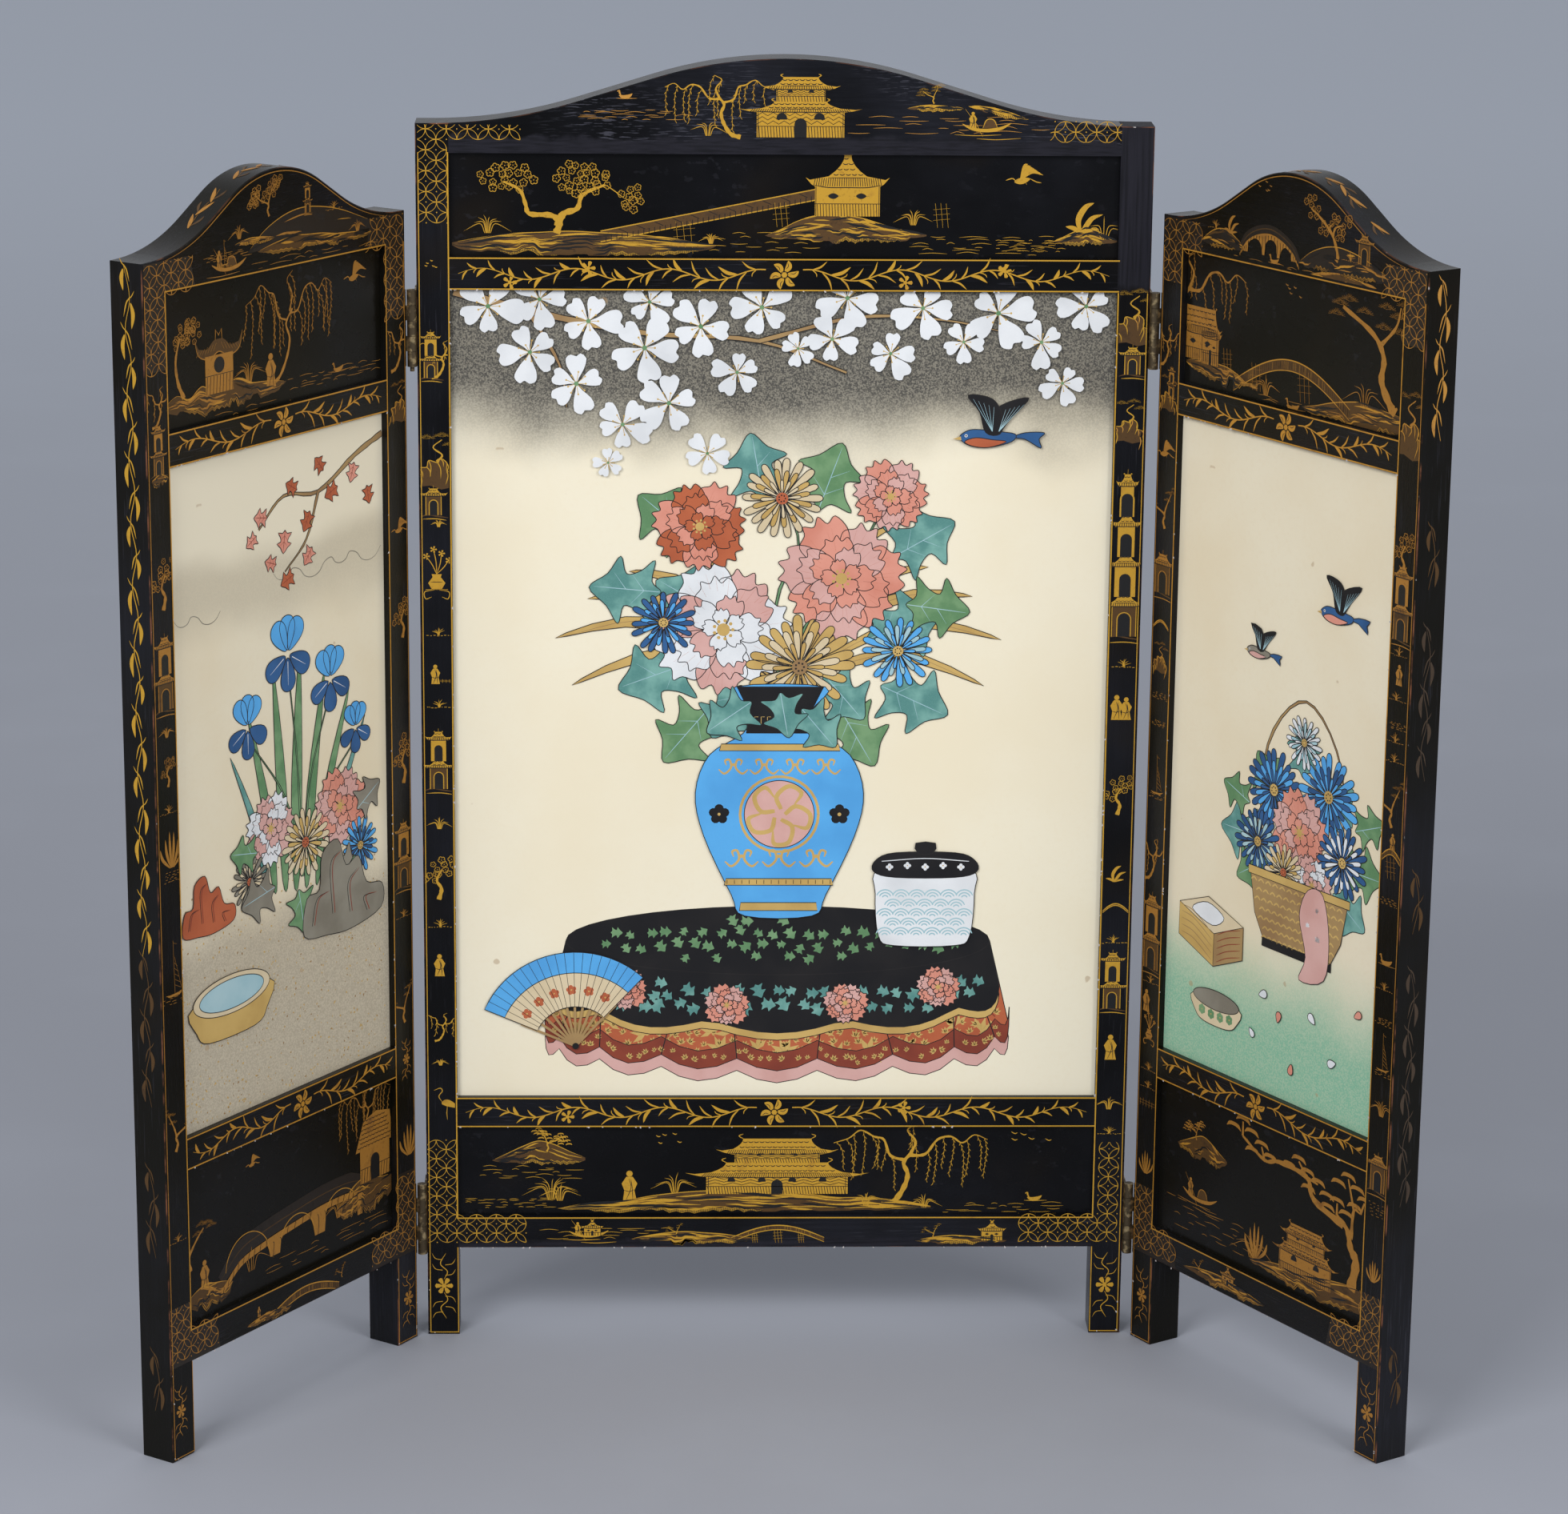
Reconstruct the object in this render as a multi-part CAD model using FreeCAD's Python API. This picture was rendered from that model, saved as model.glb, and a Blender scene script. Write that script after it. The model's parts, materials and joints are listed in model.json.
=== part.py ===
# A dwarf folding screen of three framed leaves with arched crests, in millimetres, Z up.
# The origin lies on the floor, under the middle of the standing screen.
import FreeCAD, Part
import math
import os
from dataclasses import dataclass

from FreeCAD import Vector

# Frame timber of every leaf
leaf_thickness = 32.0
stile_width = 27.0
rail_height = 27.0
bottom_rail_height = 28.0
leg_height = 80.0
arris_chamfer = 0.8

# Boards, and the grooves that hold them
board_thickness = 6.0
board_recess = 5.5
groove_depth = 8.0
groove_side_play = 0.1
groove_end_play = 0.6

# Tenons at the rail ends, and the mortises that take them
tenon_thickness = 8.0
tenon_shoulder = 4.0
mortise_floor = 8.0
mortise_end_play = 0.6

# Middle leaf
centre_width = 600.0
centre_stile_height = 1050.0
centre_lower_panel_height = 82.0
centre_upper_panel_height = 85.0
centre_shoulder_depth = 24.0
centre_crest_rise = 53.5
centre_shoulder_flat = 12.0

# Side leaves
wing_width = 326.0
wing_stile_height = 980.0
wing_lower_panel_height = 136.0
wing_upper_panel_height = 109.5
wing_shoulder_depth = 25.5
wing_crest_rise = 54.0
wing_shoulder_flat = 3.0

# How much of the run from shoulder to peak is hollow curve and how much is crown curve
centre_hollow_share = 0.41
centre_crown_share = 0.37
wing_hollow_share = 0.49
wing_crown_share = 0.34

# Butt hinges, screwed on the stile edges with the knuckles standing in front
hinge_length = 63.5
hinge_plate_width = 23.0
hinge_plate_thickness = 1.8
knuckle_radius = 4.0
knuckle_count = 5
knuckle_gap = 0.3
pin_radius = 1.8
pin_clearance = 0.05
pin_forward = 3.0
slipped_pin_drop = 4.0
lower_hinge_middle = 108.0
upper_hinge_drop = 97.0

# Countersunk screws of the hinges, drawn with flat sides to keep two dozen of them light
screw_sides = 8
screw_shank_radius = 1.4
screw_head_radius = 3.0
screw_clearance = 0.05
screw_tip_cover = 0.5
screw_pitch = 22.0
outer_screw_setback = 11.0
middle_screw_setback = 16.0

# How far each wing is folded forward where the screen stands, in degrees
left_fold_angle = 55.3
right_fold_angle = 57.8

# One overrun for cuts that pass right through a face
overrun = 5.0

# A hinge pin stands midway in the gap between two leaves, one knuckle radius from each
pin_offset = centre_width / 2 + knuckle_radius
upper_hinge_middle = wing_stile_height - upper_hinge_drop
tenon_length = stile_width - mortise_floor - mortise_end_play
shank_length = mortise_floor - screw_tip_cover


@dataclass
class Leaf:
    """Sizes of one leaf, with its left edge at x = left and its front face at y = 0."""
    name: str
    left: float
    width: float
    stile_height: float
    lower_panel_height: float
    upper_panel_height: float
    shoulder_depth: float
    crest_rise: float
    shoulder_flat: float
    hollow_share: float
    crown_share: float

    @property
    def right(self):
        return self.left + self.width

    @property
    def sight(self):
        """The span between the stiles."""
        return self.left + stile_width, self.right - stile_width

    @property
    def picture_bottom(self):
        return leg_height + bottom_rail_height + self.lower_panel_height + rail_height

    @property
    def picture_top(self):
        return self.crest_underside - self.upper_panel_height - rail_height

    @property
    def crest_underside(self):
        return self.stile_height - self.shoulder_depth

    def openings(self):
        """Bottom and top of the three board openings, by name."""
        return {
            "lower": (leg_height + bottom_rail_height, self.picture_bottom - rail_height),
            "picture": (self.picture_bottom, self.picture_top),
            "upper": (self.picture_top + rail_height, self.crest_underside),
        }

    def rails(self):
        """Bottom and top of the straight rails, by name."""
        return {
            "bottom_rail": (leg_height, leg_height + bottom_rail_height),
            "lower_rail": (self.picture_bottom - rail_height, self.picture_bottom),
            "upper_rail": (self.picture_top, self.picture_top + rail_height),
        }


centre = Leaf("centre", -centre_width / 2, centre_width, centre_stile_height,
              centre_lower_panel_height, centre_upper_panel_height, centre_shoulder_depth,
              centre_crest_rise, centre_shoulder_flat, centre_hollow_share, centre_crown_share)


def wing(name, left):
    return Leaf(name, left, wing_width, wing_stile_height,
                wing_lower_panel_height, wing_upper_panel_height, wing_shoulder_depth,
                wing_crest_rise, wing_shoulder_flat, wing_hollow_share, wing_crown_share)


left_wing = wing("left_wing", -pin_offset - knuckle_radius - wing_width)
right_wing = wing("right_wing", pin_offset + knuckle_radius)


def block(x, y, z):
    """A box between two places on each axis, in either order."""
    low = Vector(min(x), min(y), min(z))
    return Part.makeBox(abs(x[1] - x[0]), abs(y[1] - y[0]), abs(z[1] - z[0]), low)


def joined(shapes):
    first, *others = shapes
    return first.fuse(others).removeSplitter() if others else first


# Outline of a leaf

def crest_slope(rise, run, curved_share):
    """Angle of the straight stretch at which curves and straight add up to the rise."""
    low = 0.0
    high = math.pi / 2
    for _ in range(60):
        slope = (low + high) / 2
        climbed = curved_share * math.tan(slope / 2) + (1 - curved_share) * math.tan(slope)
        if run * climbed < rise:
            low = slope
        else:
            high = slope
    return slope


def crest_half(leaf):
    """The climb from the left shoulder to the peak: hollow arc, straight, crown arc."""
    half = leaf.width / 2
    run = half - leaf.shoulder_flat
    slope = crest_slope(leaf.crest_rise, run, leaf.hollow_share + leaf.crown_share)
    hollow_radius = leaf.hollow_share * run / math.sin(slope)
    crown_radius = leaf.crown_share * run / math.sin(slope)
    hollow_centre = Vector(leaf.left + leaf.shoulder_flat, 0, leaf.stile_height + hollow_radius)
    crown_centre = Vector(leaf.left + half, 0, leaf.stile_height + leaf.crest_rise - crown_radius)

    def on_hollow(angle):
        return hollow_centre + Vector(math.sin(angle), 0, -math.cos(angle)) * hollow_radius

    def on_crown(angle):
        return crown_centre + Vector(-math.sin(angle), 0, math.cos(angle)) * crown_radius

    return [
        Part.Arc(on_hollow(0), on_hollow(slope / 2), on_hollow(slope)).toShape(),
        Part.LineSegment(on_hollow(slope), on_crown(slope)).toShape(),
        Part.Arc(on_crown(slope), on_crown(slope / 2), on_crown(0)).toShape(),
    ]


def leaf_blank(leaf):
    """The whole leaf as sawn and eased after gluing: crest, straight sides and two legs."""
    inner_left, inner_right = leaf.sight
    top = leaf.stile_height
    middle = leaf.left + leaf.width / 2
    climb = crest_half(leaf)
    descent = [edge.mirror(Vector(middle, 0, 0), Vector(1, 0, 0)) for edge in climb]
    corners = [
        (leaf.right - leaf.shoulder_flat, top), (leaf.right, top), (leaf.right, 0),
        (inner_right, 0), (inner_right, leg_height), (inner_left, leg_height), (inner_left, 0),
        (leaf.left, 0), (leaf.left, top), (leaf.left + leaf.shoulder_flat, top),
    ]
    places = [Vector(x, 0, z) for x, z in corners]
    sides = [Part.LineSegment(a, b).toShape() for a, b in zip(places, places[1:])]
    edges = Part.__sortEdges__(climb + descent + sides)
    solid = Part.Face(Part.Wire(edges)).extrude(Vector(0, leaf_thickness, 0))
    rims = [edge for edge in solid.Edges if edge.BoundBox.YLength < arris_chamfer]
    return solid.makeChamfer(arris_chamfer, rims)


# Boards, grooves, tenons and mortises

def board_faces():
    """Front and back of the two boards in each opening, the front board first."""
    front = board_recess
    back = leaf_thickness - board_recess - board_thickness
    return {"front": (front, front + board_thickness), "back": (back, back + board_thickness)}


def reach(span, distance):
    """A span made longer by a distance at both ends."""
    return span[0] - distance, span[1] + distance


def board(leaf, opening, side):
    return block(reach(leaf.sight, groove_depth - groove_end_play),
                 board_faces()[side],
                 reach(leaf.openings()[opening], groove_depth - groove_end_play))


def grooves(leaf):
    """The room that the six boards take in stiles and rails."""
    return [block(reach(leaf.sight, groove_depth), reach(faces, groove_side_play),
                  reach(opening, groove_depth))
            for opening in leaf.openings().values()
            for faces in board_faces().values()]


def tenon_heights(leaf):
    """Bottom and top of every tenon of a leaf, the crest's last."""
    heights = [reach(rail, -tenon_shoulder) for rail in leaf.rails().values()]
    return heights + [reach((leaf.crest_underside, leaf.stile_height), -tenon_shoulder)]


def tenon_faces():
    middle = leaf_thickness / 2
    return middle - tenon_thickness / 2, middle + tenon_thickness / 2


def tenons(leaf, heights):
    inner_left, inner_right = leaf.sight
    return [block((inner_left - tenon_length, inner_left), tenon_faces(), heights),
            block((inner_right, inner_right + tenon_length), tenon_faces(), heights)]


def mortises(leaf):
    return [block(reach(leaf.sight, tenon_length + mortise_end_play), tenon_faces(), heights)
            for heights in tenon_heights(leaf)]


# Hinges

@dataclass
class Hinge:
    """One butt hinge. The middle leaf of the screen lies towards inward, +1 or -1 along x."""
    name: str
    pin_x: float
    inward: int
    middle: float
    pin_drop: float

    @property
    def bottom(self):
        return self.middle - hinge_length / 2


hinges = [
    Hinge("upper_left_hinge", -pin_offset, 1, upper_hinge_middle, slipped_pin_drop),
    Hinge("lower_left_hinge", -pin_offset, 1, lower_hinge_middle, 0),
    Hinge("upper_right_hinge", pin_offset, -1, upper_hinge_middle, 0),
    Hinge("lower_right_hinge", pin_offset, -1, lower_hinge_middle, 0),
]


def upright_cylinder(x, y, radius, bottom, height):
    return Part.makeCylinder(radius, height, Vector(x, y, bottom), Vector(0, 0, 1))


def screw_places(hinge):
    """Setback from the pin line and height of the three screws in one hinge leaf."""
    return [(middle_screw_setback if step == 0 else outer_screw_setback,
             hinge.middle + step * screw_pitch) for step in (-1, 0, 1)]


def screw_ring(x, y, z, radius):
    """Corners of a screw where it crosses the plane at x, the first one given again at the end."""
    turns = [2 * math.pi * (step % screw_sides) / screw_sides for step in range(screw_sides + 1)]
    return [Vector(x, y + radius * math.cos(turn), z + radius * math.sin(turn)) for turn in turns]


def flat_face(corners):
    return Part.Face(Part.makePolygon(corners))


def screw_body(hinge, side, setback, height, clearance=0.0):
    """Countersunk head in the plate and shank in the stile, wider all round by the clearance."""
    depths = (knuckle_radius - hinge_plate_thickness, knuckle_radius,
              knuckle_radius + shank_length + clearance)
    radii = screw_head_radius, screw_shank_radius, screw_shank_radius
    rings = [screw_ring(hinge.pin_x + side * depth, setback - pin_forward, height,
                        radius + clearance) for depth, radius in zip(depths, radii)]
    faces = [flat_face(rings[0]), flat_face(rings[-1])]
    for near, far in zip(rings, rings[1:]):
        for step in range(screw_sides):
            corners = near[step], near[step + 1], far[step + 1], far[step]
            faces.append(flat_face([*corners, corners[0]]))
    solid = Part.makeSolid(Part.makeShell(faces))
    if solid.Volume < 0:
        solid.reverse()
    return solid


def screws(hinge, side, clearance=0.0):
    return [screw_body(hinge, side, *place, clearance) for place in screw_places(hinge)]


def hinge_leaf(hinge, side, first_knuckle):
    """A plate on the stile's edge, its alternate knuckles curled round the pin."""
    near_face = hinge.pin_x + side * (knuckle_radius - hinge_plate_thickness)
    far_face = hinge.pin_x + side * knuckle_radius
    plate_start = knuckle_radius + knuckle_gap - pin_forward
    plate_end = hinge_plate_width - pin_forward
    pieces = [block((near_face, far_face), (plate_start, plate_end),
                    (hinge.bottom, hinge.bottom + hinge_length))]
    pitch = hinge_length / knuckle_count
    for index in range(first_knuckle, knuckle_count, 2):
        start = hinge.bottom + index * pitch + (knuckle_gap / 2 if index > 0 else 0)
        end = hinge.bottom + (index + 1) * pitch
        end = end - (knuckle_gap / 2 if index < knuckle_count - 1 else 0)
        pieces.append(upright_cylinder(hinge.pin_x, -pin_forward, knuckle_radius, start, end - start))
        pieces.append(block((near_face, far_face), (-pin_forward, plate_start), (start, end)))
    bore = upright_cylinder(hinge.pin_x, -pin_forward, pin_radius + pin_clearance,
                            hinge.bottom - overrun, hinge_length + 2 * overrun)
    return joined(pieces).cut([bore] + screws(hinge, side, screw_clearance))


def hinge_pin(hinge):
    return upright_cylinder(hinge.pin_x, -pin_forward, pin_radius,
                            hinge.bottom - hinge.pin_drop, hinge_length)


# Whole screen, first with the three leaves in line

def leaf_pieces(leaf, stile_names, room):
    """Frame and boards of one leaf. The room is what the hinge screws take in its stiles."""
    blank = leaf_blank(leaf)
    inner_left, inner_right = leaf.sight
    through = reach((0, leaf_thickness), overrun)
    full_height = reach((0, leaf.stile_height + leaf.crest_rise), overrun)
    stile_spans = (leaf.left - overrun, inner_left), (inner_right, leaf.right + overrun)
    stile_cuts = mortises(leaf) + grooves(leaf) + room
    pieces = {}
    for name, span in zip(stile_names, stile_spans):
        pieces[name] = blank.common(block(span, through, full_height)).cut(stile_cuts)

    crest_span = (leaf.crest_underside, leaf.stile_height + leaf.crest_rise + overrun)
    rail_spans = dict(leaf.rails(), crest_rail=crest_span)
    for (name, span), heights in zip(rail_spans.items(), tenon_heights(leaf)):
        body = blank.common(block((inner_left, inner_right), through, span)).cut(grooves(leaf))
        pieces[name] = joined([body] + tenons(leaf, heights))

    for opening in leaf.openings():
        pieces[opening + "_panel"] = board(leaf, opening, "front")
        pieces[opening + "_back_board"] = board(leaf, opening, "back")
    return {leaf.name + "_" + name: shape for name, shape in pieces.items()}


def side_screws(inward, side, clearance=0.0):
    """All screws of the hinges on one side of the screen, in the middle leaf or in the wing."""
    found = []
    for hinge in hinges:
        if hinge.inward == inward:
            found += screws(hinge, side, clearance)
    return found


def folded(shapes, hinge_side, angle):
    """Turns a wing's pieces about its pin line, forwards for a positive angle."""
    pin = Vector(-hinge_side * pin_offset, -pin_forward, 0)
    for shape in shapes.values():
        shape.rotate(pin, Vector(0, 0, hinge_side), angle)
    return shapes


def screen():
    """Every piece by name, with the wings folded forward to where they stand."""
    centre_room = [room for inward in (1, -1)
                   for room in side_screws(inward, inward, screw_clearance)]
    pieces = leaf_pieces(centre, ("left_stile", "right_stile"), centre_room)
    sides = {
        1: ("left", left_wing, ("outer_stile", "inner_stile"), left_fold_angle),
        -1: ("right", right_wing, ("inner_stile", "outer_stile"), right_fold_angle),
    }
    for inward, (side_name, leaf, stile_names, angle) in sides.items():
        moving = leaf_pieces(leaf, stile_names, side_screws(inward, -inward, screw_clearance))
        for hinge in hinges:
            if hinge.inward == inward:
                pieces[hinge.name + "_centre_leaf"] = hinge_leaf(hinge, inward, 0)
                pieces[hinge.name + "_pin"] = hinge_pin(hinge)
                moving[hinge.name + "_wing_leaf"] = hinge_leaf(hinge, -inward, 1)
        screws_name = side_name + "_hinge_screws_in_"
        pieces[screws_name + "centre"] = Part.makeCompound(side_screws(inward, inward))
        moving[screws_name + "wing"] = Part.makeCompound(side_screws(inward, -inward))
        pieces.update(folded(moving, inward, angle))
    return pieces


def standing_on_origin(pieces):
    """Moves the screen so that the origin is under the middle of its bounding box."""
    bounds = Part.makeCompound(list(pieces.values())).optimalBoundingBox(False, False)
    shift = Vector(-bounds.Center.x, -bounds.Center.y, -bounds.ZMin)
    for shape in pieces.values():
        shape.translate(shift)
    return shift


def main():
    pieces = screen()
    shift = standing_on_origin(pieces)
    os.makedirs("parts", exist_ok=True)
    for name, shape in pieces.items():
        shape.exportStep("parts/" + name + ".step")
    for side in (-1, 1):
        print("pin line at x", round(side * pin_offset + shift.x, 4),
              "y", round(-pin_forward + shift.y, 4))
    print("front face of the middle leaf at y", round(shift.y, 4))
    print(len(pieces), "pieces")


main()
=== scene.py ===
# Looks of a dwarf folding screen: worn black lacquer, gilt scenes, painted boards and old brass.
# Drawings are laid out in millimetres on the face that carries them. A place on a face is a
# complex number, x from the leaf's left edge and y up from the floor.
import cmath
import json
import math
import random
from dataclasses import dataclass
from functools import partial

import bmesh
import bpy
from mathutils import Matrix, Vector


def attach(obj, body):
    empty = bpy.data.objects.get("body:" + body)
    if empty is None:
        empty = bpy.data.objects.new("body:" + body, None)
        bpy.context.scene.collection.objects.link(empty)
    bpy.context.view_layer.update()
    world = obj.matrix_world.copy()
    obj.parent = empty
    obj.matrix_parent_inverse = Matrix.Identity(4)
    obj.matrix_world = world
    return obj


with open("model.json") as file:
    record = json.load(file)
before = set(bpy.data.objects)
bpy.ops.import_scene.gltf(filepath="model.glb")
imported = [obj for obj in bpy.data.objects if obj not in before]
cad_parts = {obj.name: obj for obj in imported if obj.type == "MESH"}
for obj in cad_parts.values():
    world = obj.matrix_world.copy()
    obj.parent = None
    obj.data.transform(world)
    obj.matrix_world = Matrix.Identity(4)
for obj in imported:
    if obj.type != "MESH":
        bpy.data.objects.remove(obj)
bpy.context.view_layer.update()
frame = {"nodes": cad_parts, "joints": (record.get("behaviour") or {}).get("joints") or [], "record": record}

mm = 0.001

# Sizes of the leaves, as the solids have them
leaf_thickness = 32.0
stile_width = 27.0
rail_height = 27.0
bottom_rail_height = 28.0
leg_height = 80.0
board_recess = 5.5
knuckle_radius = 4.0
pin_forward = 3.0
wing_width = 326.0
centre_width = 600.0
centre_picture = 217.0, 914.0
wing_picture = 271.0, 818.0
centre_crest_underside = 1026.0
wing_crest_underside = 954.5
fold_angles = {"centre": 0.0, "left_wing": 55.3, "right_wing": -57.8}

# Thickness of paint, and the heights above a face at which the finishes lie
paint_thickness = 0.10
layer_step = 0.001
layer_count = 60
level_rise = 0.014
finish_heights = {"umber": 0.11, "bronze": 0.15, "gold": 0.22, "amber": 0.22, "ink": 0.30,
                  "chalk": 0.36}

# Brush widths
hair_line = 0.52
water_line = 0.36
fine_line = 0.75
border_line = 1.1
comb_width = 2.4
streak_share = 1.6
brush_fill = 3.0
curve_steps = 5

# Spacing of small strokes and tiles
hatch_step = 1.1
rib_step = 1.9
board_step = 2.4
roof_tile = 4.8
tuft_width = 5.5
grass_line = 0.55
sedge_line = 0.42

up = Vector((0, 0, 1))


# Faces of the leaves

@dataclass
class Face:
    """A flat face: along runs to the right of someone who looks at it, and out points at them."""
    corner: Vector
    along: Vector
    out: Vector
    body: str

    def place(self, point, height=0.0):
        return self.corner + (self.along * point.real + up * point.imag + self.out * height) * mm

    def set_back(self, depth):
        return Face(self.corner - self.out * depth * mm, self.along, self.out, self.body)

    def outer_edge(self, side):
        """The leaf's edge face at its left (-1) or right (1), with x running to the right there."""
        if side < 0:
            back = self.corner - self.out * leaf_thickness * mm
            return Face(back, self.out, -self.along, self.body)
        far = self.corner + self.along * wing_width * mm
        return Face(far, -self.out, self.along, self.body)


pins = {joint["child"]: Vector((*joint["pos_m"][:2], 0)) for joint in frame["joints"]}


def leaf_face(body):
    turn = math.radians(fold_angles[body])
    along = Vector((math.cos(turn), math.sin(turn), 0))
    out = Vector((math.sin(turn), -math.cos(turn), 0))
    pin = pins["right_wing" if body == "right_wing" else "left_wing"]
    start = -knuckle_radius - wing_width if body == "left_wing" else knuckle_radius
    return Face(pin + (along * start - out * pin_forward) * mm, along, out, body)


faces = {body: leaf_face(body) for body in fold_angles}
boards = {body: face.set_back(board_recess) for body, face in faces.items()}


# Drawing flat shapes

def smooth(points, steps=curve_steps):
    """A flowing line through the points."""
    if len(points) < 3:
        return list(points)
    ends = [2 * points[0] - points[1], *points, 2 * points[-1] - points[-2]]
    line = []
    for a, b, c, d in zip(ends, ends[1:], ends[2:], ends[3:]):
        for step in range(steps):
            t = step / steps
            line.append(b + t * ((c - a) + t * (2 * a - 5 * b + 4 * c - d
                                                + t * (3 * (b - c) + d - a))) / 2)
    return line + [points[-1]]


def closed(points, steps=curve_steps):
    """A flowing outline through the points."""
    count = len(points)
    wrapped = [points[index % count] for index in range(-1, count + 2)]
    return smooth(wrapped, steps)[steps:-steps - 1]


def polar(distance, degrees):
    """A place at a distance and an angle from the origin."""
    return cmath.rect(distance, math.radians(degrees))


def arc(centre, radius, start, end, steps=8):
    return [centre + polar(radius, start + (end - start) * step / steps)
            for step in range(steps + 1)]


class Drawing:
    """Flat painted shapes on one face, gathered into one thin mesh that rides on its leaf."""
    layers = layer_count

    def __init__(self, face, heights=finish_heights, streaks=("gold", "umber")):
        self.face = face
        self.heights = heights
        self.streaks = streaks
        self.corners = []
        self.shapes = []
        self.finishes = []
        self.copies = {}
        self.stems = {}
        self.level = 0
        self.marks = 0

    def copy(self, motif, place, size, turn=0.0, finish="gold"):
        """Notes a place for a copy of a motif."""
        key = motif, finish, self.level
        self.copies.setdefault(key, []).append((place, size, math.radians(turn)))

    def stem(self, style, points, finish="gold"):
        """Notes a line for a leafy stem."""
        self.stems.setdefault((style, finish, self.level), []).append(smooth(points))

    def base(self, finish):
        return self.heights[finish]

    def height(self, finish):
        """The height of the next mark, so that marks side by side never share one."""
        self.marks += 1
        return self.base(finish) + self.marks % self.layers * layer_step

    def pen(self, x, y, size, **more):
        return Pen(self, complex(x, y), size, **more)

    def fill(self, outline, finish="gold"):
        turned = sum((b - a).real * (a + b).imag for a, b in zip(outline, outline[1:] + outline[:1]))
        first = len(self.corners)
        height = self.height(finish)
        self.corners += [(point, height) for point in (outline[::-1] if turned > 0 else outline)]
        self.shapes.append(range(first, len(self.corners)))
        self.finishes.append(finish)

    def strip(self, first_line, second_line, finish):
        """A band between two lines of as many points, the second to the left of the first."""
        first = len(self.corners)
        height = self.height(finish)
        for pair in zip(first_line, second_line):
            self.corners += [(point, height) for point in pair]
        for low in range(first, len(self.corners) - 2, 2):
            self.shapes.append((low, low + 2, low + 3, low + 1))
            self.finishes.append(finish)

    def ribbon(self, points, widths, finish="gold"):
        """A band along the points, with its own width at each."""
        last = len(points) - 1
        sides = []
        for step, width in enumerate(widths):
            way = points[min(step + 1, last)] - points[max(step - 1, 0)]
            sides.append(1j * way / (abs(way) or 1) * width / 2)
        self.strip([p - side for p, side in zip(points, sides)],
                   [p + side for p, side in zip(points, sides)], finish)

    def take(self, mesh, finishes, base=0.0):
        """Adds a flat mesh that lies in the drawing's plane; its faces' numbers pick finishes."""
        first = len(self.corners)
        self.corners += [(complex(v.co.x, v.co.y), base + v.co.z) for v in mesh.vertices]
        for polygon in mesh.polygons:
            self.shapes.append([first + index for index in polygon.vertices])
            self.finishes.append(finishes[min(polygon.material_index, len(finishes) - 1)])

    def flat_mesh(self, name, place):
        """A mesh of all the shapes, each corner put where place says, and the finishes it uses."""
        used = sorted(set(self.finishes))
        mesh = new_mesh(name, [place(*corner) for corner in self.corners], shapes=self.shapes)
        numbers = [used.index(finish) for finish in self.finishes]
        mesh.polygons.foreach_set("material_index", numbers)
        return mesh, used

    def add_cut(self, part, bounds):
        """Adds another drawing's shapes, cut to bounds."""
        mesh, used = part.flat_mesh("part", lambda point, height: (point.real, point.imag, height))
        cut_to(mesh, *bounds)
        self.take(mesh, used)

    def build(self, name, materials, slot="black_lacquer"):
        """One object of all the shapes, riding on the leaf."""
        mesh, used = self.flat_mesh(name, self.face.place)
        for finish in used:
            mesh.materials.append(materials[finish])
        thing = in_scene(name, mesh)
        solid = thing.modifiers.new("Paint thickness", "SOLIDIFY")
        solid.thickness = paint_thickness * mm
        solid.offset = -1
        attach(thing, self.face.body)


class Picture(Drawing):
    """A drawing in opaque paint, each level lying over the one before, inks on top in each."""
    layers = 7

    def base(self, finish):
        return paint_thickness + self.level * level_rise + (finish == "ink") * level_rise / 2


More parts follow.
